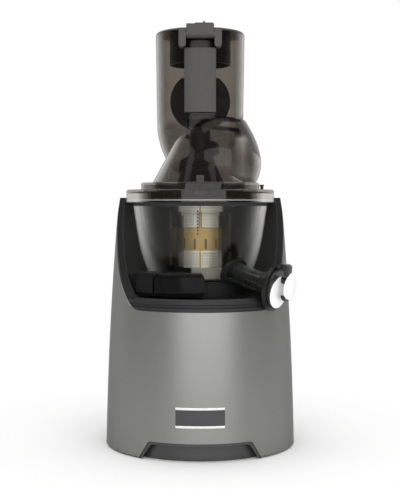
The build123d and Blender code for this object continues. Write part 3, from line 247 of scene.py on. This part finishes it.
def distance(across, up):
    """How far a point lies from the origin of two coordinates."""
    return (across * across + up * up).do("SQRT")


def between(value, low, high):
    """1 where value lies between low and high, and 0 beyond, with sharp borders."""
    return (value > low) * (value < high)


def shade(colour, factor):
    """The same colour, lighter or darker."""
    return tuple(min(1.0, part * factor) for part in colour)


# ---- camera and light ----
def add_camera():
    """A long lens at the height of the bowl, looking along +Y."""
    data = bpy.data.cameras.new("camera")
    data.sensor_fit = "HORIZONTAL"
    data.sensor_width = 36.0
    data.lens = 94.5
    data.shift_y = -0.101
    data.clip_start = 0.01
    camera = bpy.data.objects.new("camera", data)
    camera.location = (-0.0002, -1.143, 0.2575)
    camera.rotation_euler = (radians(90), 0, 0)
    scene.collection.objects.link(camera)
    scene.camera = camera


def add_softbox(name, place, aim, width, height, power):
    data = bpy.data.lights.new(name, "AREA")
    data.shape = "RECTANGLE"
    data.size, data.size_y = width, height
    data.energy = power
    lamp = bpy.data.objects.new(name, data)
    lamp.location = place
    lamp.rotation_euler = (Vector(aim) - Vector(place)).to_track_quat("-Z", "Y").to_euler()
    scene.collection.objects.link(lamp)


def light_world():
    """A white surround. The camera and the clear pieces see all of it, and a part of it lights the object."""
    world = bpy.data.worlds.new("studio")
    world.use_nodes = True
    sky = Tree(world.node_tree)
    camera_ray = sky.node("LightPath", output="Is Camera Ray")
    seen = camera_ray.do("MAXIMUM", camera_ray.also("Is Transmission Ray"))
    dim, full, more_for_diffuse = 0.2, 1.0, 0.25
    strength = camera_ray.also("Is Diffuse Ray") * more_for_diffuse + sky.level(seen, dim, full)
    back = world.node_tree.nodes["Background"]
    sky.plug(back.inputs["Color"], (1, 1, 1))
    sky.plug(back.inputs["Strength"], strength)
    scene.world = world


# ---- stage ----
def backdrop_mix(name, colour, fade_from, fade_to):
    """A pale ground that keeps its shadow near the object and turns to plain white further out."""
    finish = Finish(name, Roughness=0.9)
    x, y, _ = finish.axes()
    cloud = finish.noise(scale=3.0)
    finish.feed("Base Color", finish.tone(cloud, shade(colour, 0.99), shade(colour, 1.01)))
    seen = finish.node("LightPath", output="Is Camera Ray")
    for ray in ("Is Glossy Ray", "Is Transmission Ray"):
        seen = seen.do("MAXIMUM", finish.node("LightPath", output=ray))
    glow = finish.node("Emission", values={"Color": (1, 1, 1), "Strength": 1.0})
    finish.show(finish.mix(finish.smooth(distance(x, y), fade_from, fade_to) * seen, finish.surface(), glow))
    return finish.material


def add_stage():
    """The floor, and the backdrop that stands behind it."""
    bpy.ops.mesh.primitive_plane_add(size=8.0, location=(0, 0, 0))
    floor = bpy.context.active_object
    floor.name = "floor"
    floor.data.materials.append(backdrop_mix("pale_floor", (0.94, 0.94, 0.935), fade_from=0.07, fade_to=0.38))
    bpy.ops.mesh.primitive_plane_add(size=1.0, location=(0, 0, 0))
    wall = bpy.context.active_object
    wall.name = "backdrop"
    wide_and_high = Matrix.Diagonal((16.0, 4.0, 1.0, 1.0))
    upright = Matrix.Rotation(radians(90), 4, "X")
    wall.data.transform(Matrix.Translation((0, 3.0, 1.5)) @ upright @ wide_and_high)
    wall.data.materials.append(backdrop_mix("pale_wall", (0.9, 0.9, 0.9), fade_from=-1.0, fade_to=0.0))


# ---- opaque finishes ----
def moulded(name, colour, roughness=0.4, grain=900.0, depth=0.00002, edge=0.0006, other=None, where=None, **fixed):
    """Injection-moulded plastic: a faint mottle, a fine spark-eroded grain and slightly rounded edges. where makes a
    mask, and the piece has the other colour where that is 1."""
    finish = Finish(name, **fixed)
    cloud = finish.noise(scale=28.0, detail=3.0)
    own = finish.tone(cloud, shade(colour, 0.85), shade(colour, 1.15))
    finish.feed("Base Color", finish.tone(where(finish), own, other) if other else own)
    finish.feed("Roughness", finish.level(cloud, roughness - 0.04, roughness + 0.05))
    finish.feed("Normal", finish.bump(finish.noise(grain), 0.35, depth, finish.soft_edge(edge)))
    return finish.material


def machined(name, colour, roughness):
    """Turned or ground metal: fine rings of light and dark along Z."""
    finish = Finish(name, Metallic=1.0)
    rings_per_metre = 1400.0
    ring = finish.node("TexNoise", {"noise_dimensions": "1D"}, {
        "W": finish.height() * rings_per_metre, "Detail": 2.0})
    finish.feed("Base Color", finish.tone(ring, shade(colour, 0.85), shade(colour, 1.1)))
    finish.feed("Roughness", finish.level(ring, roughness - 0.06, roughness + 0.08))
    finish.feed("Normal", finish.bump(ring, 0.2, 0.00001, finish.soft_edge(0.0004)))
    return finish.material


def layered(name, colour, metallic, roughness, turns, dark, strength, depth):
    """Wire or sheet metal stacked along Z: every layer has a dark gap beside it."""
    finish = Finish(name, Metallic=metallic, Roughness=roughness)
    layer = (finish.height() * turns).do("SINE") * 0.5 + 0.5
    finish.feed("Base Color", finish.tone(layer, shade(colour, dark), colour))
    finish.feed("Normal", finish.bump(layer, strength, depth))
    return finish.material


def barrel_depth(finish):
    """How far a point lies under the barrel's outer skin."""
    x, y, z = finish.axes()
    straight, slope, curve = BARREL_PROFILE
    return z * z * curve + z * slope + straight - distance(x, y)


def cradle_rim(finish):
    """1 on the cut edge of the cradle, which keeps a near black, and 0 on its wall, which lies a little deeper and is
    painted grey as painted light.
    """
    return finish.smooth(barrel_depth(finish), CRADLE_RIM - FINE_BORDER, CRADLE_RIM, 1.0, 0.0)


def shaded_hinge_foot(finish):
    """1 on the lower part of the hinge block, where its colour is painted shade, and 0 above it."""
    return finish.height() < HINGE_FOOT


def lacquer(name, colour, bare):
    """Silver flake lacquer: a fine sparkle with a satin sheen. It covers the barrel's outer skin alone, and the cut
    edges and the inside keep the bare colour."""
    finish = Finish(name, Specular_Tint=(0.45, 0.45, 0.45))
    skin = finish.smooth(barrel_depth(finish), *LACQUER_DEPTH, 1.0, 0.0)
    flake = finish.noise(scale=2600.0, detail=1.0, roughness=0.8)
    cloud = finish.noise(scale=9.0)
    coat = finish.tone(flake * 0.6 + cloud * 0.4, shade(colour, 0.82), shade(colour, 1.18))
    finish.feed("Base Color", finish.tone(skin, bare, coat))
    finish.feed("Metallic", skin * 0.8)
    finish.feed("Roughness", finish.level(flake, 0.33, 0.42))
    finish.feed("Normal", finish.bump(flake, 0.12, 0.00002, finish.soft_edge(0.0008)))
    return finish.material


# ---- strainer and brush ----
def punched(finish, radius):
    """1 on the metal and 0 in the holes of a sleeve that is punched in rows."""
    x, y, z = finish.axes()
    across = (y.do("ARCTAN2", x) * (radius / HOLE_PITCH)).do("FRACT") - 0.5
    up = (z / HOLE_PITCH).do("FRACT") - 0.5
    return finish.smooth(distance(across, up), HOLE_INNER, HOLE_OUTER)


def seam_dots(x, y, z):
    """1 in the column of larger holes beside the front rib."""
    up = ((z / DOT_PITCH).do("FRACT") - 0.5) * DOT_PITCH
    near = distance(x - DOT_COLUMN_X, up) < DOT_RADIUS
    return near * (y < 0.0) * between(z, *DOT_COLUMN)


def strainer_shine(finish, x, raised):
    """The metal look of the strainer, strongest in front, and its punched relief."""
    finish.feed("Metallic", finish.level(finish.within(x, *STRAINER_SHINE, soft=0.005), 0.45, 0.60))
    finish.feed("Normal", finish.bump(raised, 0.5, 0.0002))


def perforated(name, radius, dark):
    """A sleeve of thin steel with a fine grid of punched holes. Its colour has painted light: light steel only across
    the front, and painted shade at the sides and behind the slots of the band.
    """
    finish = Finish(name)
    x, y, z = finish.axes()
    solid = punched(finish, radius)
    behind_band = between(z, *STRAINER_BAND)
    band_shadow = 0.8
    # Painted light and shade: light steel across the front, dark at the sides and behind the band.
    lit = finish.within(x, *STRAINER_LIT) * (1.0 - seam_dots(x, y, z)) * (1.0 - behind_band * band_shadow)
    finish.feed("Base Color", finish.tone(lit, dark, finish.tone(solid, STEEL_HOLE, STEEL_LIGHT)))
    finish.feed("Roughness", finish.level(solid, 0.5, 0.38))
    strainer_shine(finish, x, solid)
    return finish.material


def caged(name, radius, amber, dark, hole, rib):
    """The strainer's frame: glossy amber in the slotted band and on the front rib, with painted shade that darkens
    the amber at the sides. Elsewhere it looks like the punched steel behind it: bright below the band and at the
    crown across the front alone, as painted light, dark between them, and painted shade at the sides."""
    finish = Finish(name)
    x, y, z = finish.axes()
    solid = punched(finish, radius)
    lit = finish.within(x, *STRAINER_LIT)
    # Painted light: the steel is bright below the band and at the crown only across the front.
    bright = (z < STRAINER_BAND[0]).do("MAXIMUM", z > STRAINER_CROWN) * lit
    steel = finish.tone(bright, dark, finish.tone(solid, STEEL_HOLE, STEEL_LIGHT))
    cloud = finish.noise(scale=60.0)
    # Painted shade: the amber is darker away from the front.
    resin = finish.tone(cloud * 0.3 + lit * 0.7, shade(amber, 0.10), shade(amber, 1.15))
    on_rib = (x.do("ABSOLUTE") < rib) * (y < 0.0)
    on_amber = between(z, *STRAINER_BAND).do("MAXIMUM", on_rib)
    finish.feed("Base Color", finish.tone(seam_dots(x, y, z), finish.tone(on_amber, steel, resin), hole))
    finish.feed("Roughness", finish.level(cloud, 0.30, 0.38))
    strainer_shine(finish, x, solid * (1.0 - on_amber))
    return finish.material


def brush_plastic(name, tint, post, wheel):
    """The brush: a clear top ring, half-clear dark posts with their strips, and a gear that looks milky in front."""
    finish = Finish(name, Roughness=0.35, Specular_IOR_Level=0.1)
    x, _, z = finish.axes()
    cloud = finish.noise(scale=40.0)
    gear, ring = z < BRUSH_GEAR_TOP, z > BRUSH_RING
    milky = gear * finish.within(x, *BRUSH_FRONT, soft=0.0015)
    finish.feed("Base Color", finish.tone(milky, finish.tone(cloud, post, shade(post, 1.6)),
                                          finish.tone(cloud, shade(wheel, 0.9), shade(wheel, 1.1))))
    post_share, gear_more, ring_less = 0.25, 0.60, 0.24
    solid = gear * gear_more + post_share - ring * ring_less
    finish.show(finish.mix(solid, finish.see_through(tint), finish.surface()))
    return finish.material


# ---- clear plastics ----
def patch(finish, x_range, x_soft, z_range, z_soft, strength):
    """strength in a rectangle of x and z with soft borders, and 0 outside it."""
    x, _, z = finish.axes()
    return finish.within(x, *x_range, x_soft) * finish.within(z, *z_range, z_soft) * strength


def seam_line(finish, start, end, height, slope, half, strength):
    """strength along a sloping line on the front, fading over the outer half of its width."""
    x, y, z = finish.axes()
    off = (z - height + (x - start) * slope).do("ABSOLUTE")
    return finish.smooth(off, half * 0.5, half, strength, 0.0) * between(x, start, end) * (y < 0.0)


def clear(name, tint, body, share, haze, gloss, edge, haze_from=0.3, haze_full=0.85, power=1.0, painted_light_patch=None,
          hazy_to=None, deep=None, seams=(), outline=0.0, rim_patch=None, lower_rim_highlight=None):
    """Tinted clear plastic, built up from the light that passes to the mirror on top.

    tint: the colour of the light that passes.
    body, share: the wall's own colour, and how much of the wall shows face on and endways.
    haze: the colour of a wall seen endways. It eases in from haze_from to haze_full of the way round, and a higher
    power holds it back. The haze patch is painted light, with more of it there, and there is little of it above the
    height hazy_to.
    deep: the heights over which a thicker wall thins out, and how much more of it shows below them.
    seams: dark lines on the front where an inner wall meets this one.
    outline: how dark the wall is where it turns away. rim_patch has a broader outline.
    The lower band: the heights of a painted highlight, a thin band of the haze colour along the wall's lower end,
    and how much of it.
    gloss, edge: how much it mirrors face on, and how much more at its outline."""
    finish = Finish(name, IOR=1.5, Roughness=0.3, Specular_IOR_Level=0.0)
    z = finish.height()
    facing = finish.node("LayerWeight", values={"Blend": 0.5}, output="Facing")
    # The haze patch paints a patch of light: more of the pale haze colour in a rectangle.
    hazy = facing + patch(finish, *painted_light_patch) if painted_light_patch else facing
    turned = finish.smooth(hazy, haze_from, haze_full) ** power
    if hazy_to:
        turned = turned * finish.smooth(z, hazy_to - HAZE_BORDER, hazy_to, 1.0, LEAST_HAZE)
    finish.feed("Base Color", finish.tone(finish.noise(scale=14.0), shade(body, 0.8), shade(body, 1.2)))
    solid = finish.level(turned, *share)
    if deep:
        low, high, more = deep
        solid = (solid + finish.smooth(z, low, high, more, 0.0)).do("MINIMUM", MOST_SOLID)
    wall = finish.mix(turned, finish.surface(), finish.matt(haze))
    inside = finish.mix(solid, finish.see_through(tint), wall)
    for seam in seams:
        inside = finish.mix(seam_line(finish, *seam), inside, finish.matt(NEAR_BLACK))
    if outline:
        outer = facing + patch(finish, *rim_patch) if rim_patch else facing
        inside = finish.mix(finish.smooth(outer, *OUTLINE_ZONE, 0.0, outline), inside, finish.matt(NEAR_BLACK))
    # A painted highlight: a thin band of the pale haze colour near the lid's lower edge.
    if lower_rim_highlight:
        low, high, strength = lower_rim_highlight
        inside = finish.mix(finish.within(z, low, high, LOWER_RIM_HIGHLIGHT_BORDER) * strength, inside, finish.matt(haze))
    mirror = finish.node("BsdfAnisotropic", values={"Color": (1, 1, 1), "Roughness": CLEAR_POLISH})
    finish.show(finish.mix((facing ** MIRROR_POWER) * edge + gloss, inside, mirror))
    return finish.material


# ---- finishes of the nodes ----
def dress(material, *names):
    """Give the named nodes one finish."""
    for name in names:
        for slot in nodes[name].material_slots:
            slot.material = material
    return material


def dress_base():
    dress(lacquer("silver_lacquer", (0.235, 0.235, 0.224), bare=(0.02, 0.02, 0.02)), "base_shell")
    # The cradle is one black plastic: its wall is painted grey as painted light, for the light that reaches it
    # through the bowl, and its cut edge keeps a near black.
    dress(moulded("bay_black", (0.152, 0.152, 0.149), 0.45, 500.0, 0.000008, other=(0.012, 0.012, 0.012),
                  where=cradle_rim, Specular_IOR_Level=0.1), "cradle")
    dress(moulded("floor_black", (0.016, 0.016, 0.016), 0.5, 500.0, 0.000008, Specular_IOR_Level=0.10), "bay_floor")
    dress(moulded("panel_grey", (0.030, 0.030, 0.030), 0.34, 500.0, 0.00001, Specular_IOR_Level=0.6), "recess_panel")
    dress(moulded("grey_trim", (0.020, 0.020, 0.020), 0.36, Specular_IOR_Level=0.22), "trim_ring")
    dress(moulded("plate_face", (0.055, 0.055, 0.056), 0.35, edge=0.0002, Metallic=0.6), "name_plate")
    dress(machined("bright_chrome", (0.86, 0.86, 0.85), 0.16), "plate_rails")
    dress(moulded("black_grain", (0.028, 0.028, 0.028), 0.55, depth=0.00004, Specular_IOR_Level=0.3),
          "base_plate", "grip_insert", "power_inlet", "switch_bezel", "lid_sensor")
    dress(moulded("black_rubber", (0.02, 0.02, 0.02), 0.8, 1500.0, 0.00006),
          "rubber_feet", "motor_mounts", "shaft_seal", "bowl_seal", "lid_gasket", "cap_seal")


def dress_drive():
    dress(moulded("motor_paint", (0.10, 0.105, 0.11), 0.5), "motor_can", "gearbox_case", "gearbox_cover")
    dress(machined("machined_steel", (0.55, 0.55, 0.56), 0.32),
          "motor_rotor", "output_gear", "drive_shaft", "bearings")
    dress(layered("laminated_steel", (0.4, 0.4, 0.41), metallic=0.9, roughness=0.4, turns=6000.0, dark=0.6,
                  strength=0.4, depth=0.0001), "stator_core")
    dress(layered("copper_winding", (0.55, 0.24, 0.10), metallic=0.7, roughness=0.35, turns=2600.0, dark=0.55,
                  strength=0.6, depth=0.0003), "stator_windings")
    dress(moulded("natural_nylon", (0.78, 0.77, 0.72), 0.5), "middle_gear", "brush_idler")
    dress(moulded("fan_plastic", (0.05, 0.05, 0.055), 0.5), "motor_fan")
    dress(moulded("board_green", (0.03, 0.15, 0.07), 0.4), "control_board")
    dress(machined("zinc_screw", (0.6, 0.6, 0.6), 0.35), "case_screws", "hinge_pins")


def dress_clear_pieces():
    dress(clear("smoke_clear", (0.640, 0.620, 0.594), (0.020, 0.016, 0.012), share=(0.04, 0.50),
                haze=(0.72, 0.69, 0.65), gloss=0.012, edge=0.50, haze_from=0.24, power=1.25, painted_light_patch=BULGE_LIGHT_PATCH,
                deep=(0.342, 0.352, 0.19), seams=HOPPER_SEAMS, outline=0.75, rim_patch=BULGE_RIM), "hopper")
    dress(clear("lid_smoke", (0.66, 0.64, 0.61), (0.020, 0.016, 0.012), share=(0.05, 0.25),
                haze=(0.92, 0.91, 0.88), gloss=0.020, edge=0.45, haze_from=0.26, haze_full=0.50, hazy_to=0.2690,
                deep=(0.400, 0.401, 0.14), outline=0.3, lower_rim_highlight=(0.2611, 0.2625, 0.18)), "lid")
    dress(clear("bowl_clear", (0.80, 0.80, 0.78), (0.030, 0.030, 0.028), share=(0.05, 0.80),
                haze=(0.92, 0.92, 0.89), gloss=0.012, edge=0.50, haze_from=0.18, power=1.3, outline=0.3), "bowl")
    dress(clear("spout_smoke", (0.62, 0.63, 0.59), (0.040, 0.046, 0.038), share=(0.15, 0.5),
                haze=(0.16, 0.17, 0.16), gloss=0.020, edge=0.6), "juice_spout")
    dress(clear("pulp_smoke", (0.30, 0.30, 0.29), (0.009, 0.009, 0.009), share=(0.55, 0.6),
                haze=(0.05, 0.05, 0.05), gloss=0.004, edge=0.35), "pulp_duct", "pulp_spout")


def dress_strainer():
    # The dark colours of the strainer's frame and sleeve are painted shade for their sides.
    dress(caged("strainer_cage", radius=0.0335, amber=(0.60, 0.425, 0.185), dark=(0.03, 0.028, 0.025),
                hole=(0.03, 0.025, 0.02), rib=0.0009), "strainer_frame")
    dress(perforated("perforated_steel", radius=0.0307, dark=(0.06, 0.045, 0.025)), "strainer_mesh")
    dress(brush_plastic("brush_smoke", (0.985, 0.985, 0.98), post=(0.012, 0.012, 0.011), wheel=(0.75, 0.75, 0.71)),
          "brush_frame", "brush_blades")
    dress(moulded("dark_silicone", (0.008, 0.008, 0.008), 0.6, Specular_IOR_Level=0.1), "pulp_flap")


def dress_fittings():
    """The small pieces and the auger. The finishes that the added pieces share are returned."""
    grey = (0.046, 0.045, 0.043)
    dress(moulded("bar_grey", grey, 0.42, Specular_IOR_Level=0.3), "front_bar", "hinge_arms")
    # The hinge block's foot gets a near black as painted shade.
    dress(moulded("hinge_grey", grey, 0.42, other=(0.006, 0.006, 0.006), where=shaded_hinge_foot, Specular_IOR_Level=0.3),
          "gate_hinge_block")
    dress(moulded("lock_brown", (0.008, 0.006, 0.004), 0.4, Specular_IOR_Level=0.1), "lid_locks")
    dress(moulded("ring_black", (0.011, 0.011, 0.010), 0.32, 500.0, 0.000006, Specular_IOR_Level=0.22),
          "spout_collar", "spout_flange")
    black = dress(moulded("black_satin", (0.022, 0.022, 0.022), 0.28, 500.0, 0.000006, Specular_IOR_Level=0.3),
                  "outlet_pins", "switch_rocker", "lid_marks", "auger_socket", "gate_collar", "flip_gate",
                  "gate_bracket", "spout_cap")
    charcoal = dress(moulded("auger_charcoal", (0.020, 0.018, 0.017), 0.28), "auger")
    white = dress(moulded("cap_white", (0.93, 0.93, 0.92), 0.12, 300.0, 0.000004), "cap_trim")
    return black, charcoal, white


# ---- shaping ----
def add_circle(vertices, radius, fill_type="NOTHING"):
    """Add a circle at the origin, with nothing else selected."""
    bpy.ops.object.select_all(action="DESELECT")
    bpy.ops.mesh.primitive_circle_add(vertices=vertices, radius=radius, fill_type=fill_type, location=(0, 0, 0))
    return bpy.context.active_object


def choose(piece):
    """Select the piece alone and make it the active one."""
    bpy.ops.object.select_all(action="DESELECT")
    piece.select_set(True)
    bpy.context.view_layer.objects.active = piece


def edit(piece):
    """Enter edit mode with the whole piece selected."""
    choose(piece)
    bpy.ops.object.mode_set(mode="EDIT")
    bpy.ops.mesh.select_mode(type="VERT")
    bpy.ops.mesh.select_all(action="SELECT")


def pick(piece, test):
    """Select the vertices of the piece in edit mode that pass the test."""
    mesh = bmesh.from_edit_mesh(piece.data)
    for vertex in mesh.verts:
        vertex.select_set(test(vertex))
    mesh.select_flush_mode()
    bmesh.update_edit_mesh(piece.data)


def extrude(x, y, z):
    bpy.ops.mesh.extrude_region_move(TRANSFORM_OT_translate={"value": (x, y, z)})


def stretch(x, y, centre=(0, 0, 0)):
    bpy.ops.transform.resize(value=(x, y, 1), center_override=centre)


def leave_edit():
    """Turn all faces outwards and leave edit mode."""
    bpy.ops.mesh.select_all(action="SELECT")
    bpy.ops.mesh.normals_make_consistent(inside=False)
    bpy.ops.object.mode_set(mode="OBJECT")


def bevel(piece, width, angle):
    """Round the edges that are sharper than the angle."""
    modifier = piece.modifiers.new("Bevel", "BEVEL")
    modifier.width = width
    modifier.segments = 3
    modifier.limit_method = "ANGLE"
    modifier.angle_limit = radians(angle)
    bpy.ops.object.modifier_apply(modifier=modifier.name)


def settle(piece, name, smooth_angle, material):
    """Name the piece, smooth its faces by angle and give it its finish."""
    piece.name = piece.data.name = name
    choose(piece)
    bpy.ops.object.shade_smooth_by_angle(angle=radians(smooth_angle))
    piece.data.materials.append(material)


# ---- added pieces ----
# The cap's own frame: x across the cap, y up it, z out of it.
CAP_TURN, CAP_TILT = radians(60), radians(8)
cap_x = Vector((cos(CAP_TURN), sin(CAP_TURN), 0))
cap_z = Vector((sin(CAP_TURN) * cos(CAP_TILT), -cos(CAP_TURN) * cos(CAP_TILT), -sin(CAP_TILT)))
cap_y = cap_z.cross(cap_x)
cap_centre = Vector((77.6, -71.5, 171.6)) * MM
cap_frame = Matrix.Translation(cap_centre) @ Matrix((cap_x, cap_y, cap_z)).transposed().to_4x4()

# The rings of a crowned face, as shares of its outline.
CROWN_RINGS = (0.93, 0.8, 0.6, 0.35, 0.1)


def teardrop(name, material, centre, radius, tip, low, high, crown, wide=1.0):
    """A round plate drawn out to a rounded point, with a crowned face and soft edges, in millimetres."""
    piece = add_circle(64, radius * MM, "NGON")
    edit(piece)
    # The part of the rim above the shoulder is squeezed and lifted onto the point.
    small = 0.3 * radius
    lean = (radius - small) / (tip - small)
    shoulder = radius * lean
    pick(piece, lambda vertex: vertex.co.y > shoulder * MM)
    stretch(small / radius, small / radius)
    bpy.ops.transform.translate(value=(0, (tip - small) * MM, 0))
    bpy.ops.mesh.select_all(action="SELECT")
    stretch(wide, 1)
    extrude(0, 0, (high - low) * MM)
    middle = (0, (tip - radius) / 2 * MM, 0)
    scale, rise = 1.0, 0.0
    for share in CROWN_RINGS:
        extrude(0, 0, crown * MM * (1 - share ** 2 - rise))
        stretch(share / scale, share / scale, middle)
        scale, rise = share, 1 - share ** 2
    leave_edit()
    piece.data.transform(Matrix.Translation((centre[0] * MM, centre[1] * MM, low * MM)))
    bevel(piece, 0.5 * MM, 50)
    piece.data.transform(cap_frame)
    settle(piece, name, 50, material)
    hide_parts("cap_trim")
    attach(piece, "spout_cap")


def cap_hook(material):
    """The black arm that arches over the top of the cap. Its outline gives out and up in the cap's frame."""
    outline = [(1.3, 18.8), (1.3, 25.2), (3.0, 26.4), (9.0, 26.4), (11.6, 25.5), (12.8, 23.2), (12.8, 15.2),
               (11.6, 13.8), (9.6, 15.0), (8.6, 18.4), (7.0, 19.8), (5.0, 19.8), (4.0, 18.8)]
    width = 11.4 * MM
    piece = add_circle(len(outline), 10 * MM, "NGON")
    for vertex, (out, up) in zip(piece.data.vertices, outline):
        vertex.co = (0.0, up * MM, out * MM)
    edit(piece)
    bpy.ops.transform.translate(value=(-width / 2, 0, 0))
    extrude(width, 0, 0)
    leave_edit()
    bevel(piece, 0.7 * MM, 30)
    piece.data.transform(cap_frame)
    settle(piece, "cap_hook", 40, material)
    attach(piece, "spout_cap")


def auger_skirt(material):
    """The auger's cone below the cutting blade, turned from its profile of radius and height."""
    profile = [(0.0117, 0.3150), (0.0135, 0.3110), (0.0158, 0.3050), (0.0180, 0.2990), (0.0205, 0.2930),
               (0.0232, 0.2870), (0.0248, 0.2825), (0.0250, 0.2805), (0.0247, 0.2790), (0.0117, 0.2785)]
    radius, height = profile[0]
    piece = add_circle(72, radius)
    piece.data.transform(Matrix.Translation((0, 0, height)))
    edit(piece)
    for next_radius, next_height in profile[1:]:
        extrude(0, 0, next_height - height)
        stretch(next_radius / radius, next_radius / radius)
        radius, height = next_radius, next_height
    extrude(0, 0, profile[0][1] - height)
    bpy.ops.mesh.select_all(action="SELECT")
    bpy.ops.mesh.remove_doubles(threshold=0.00002)
    leave_edit()
    settle(piece, "auger_skirt", 40, material)
    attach(piece, "auger")


# ---- the scene ----
add_camera()
add_softbox("front_box", place=(0.17, -1.75, 0.50), aim=(0, 0, 0.2), width=2.4, height=1.8, power=34.0)
add_softbox("top_box", place=(0.0, 0.1, 2.0), aim=(0, 0, 0), width=2.2, height=2.2, power=26.0)
light_world()
add_stage()
dress_base()
dress_drive()
dress_clear_pieces()
dress_strainer()
black_satin, auger_charcoal, cap_white = dress_fittings()
teardrop("cap_face", cap_white, centre=(-1.2, -4.4), radius=15.4, tip=17.4, low=3.0, high=4.4, crown=0.8, wide=1.2)
teardrop("cap_lever", cap_white, centre=(2.0, 3.2), radius=12.6, tip=14.6, low=13.0, high=15.8, crown=1.2)
cap_hook(black_satin)
auger_skirt(auger_charcoal)
scene.view_settings.view_transform = "Standard"
scene.cycles.transparent_max_bounces = 32
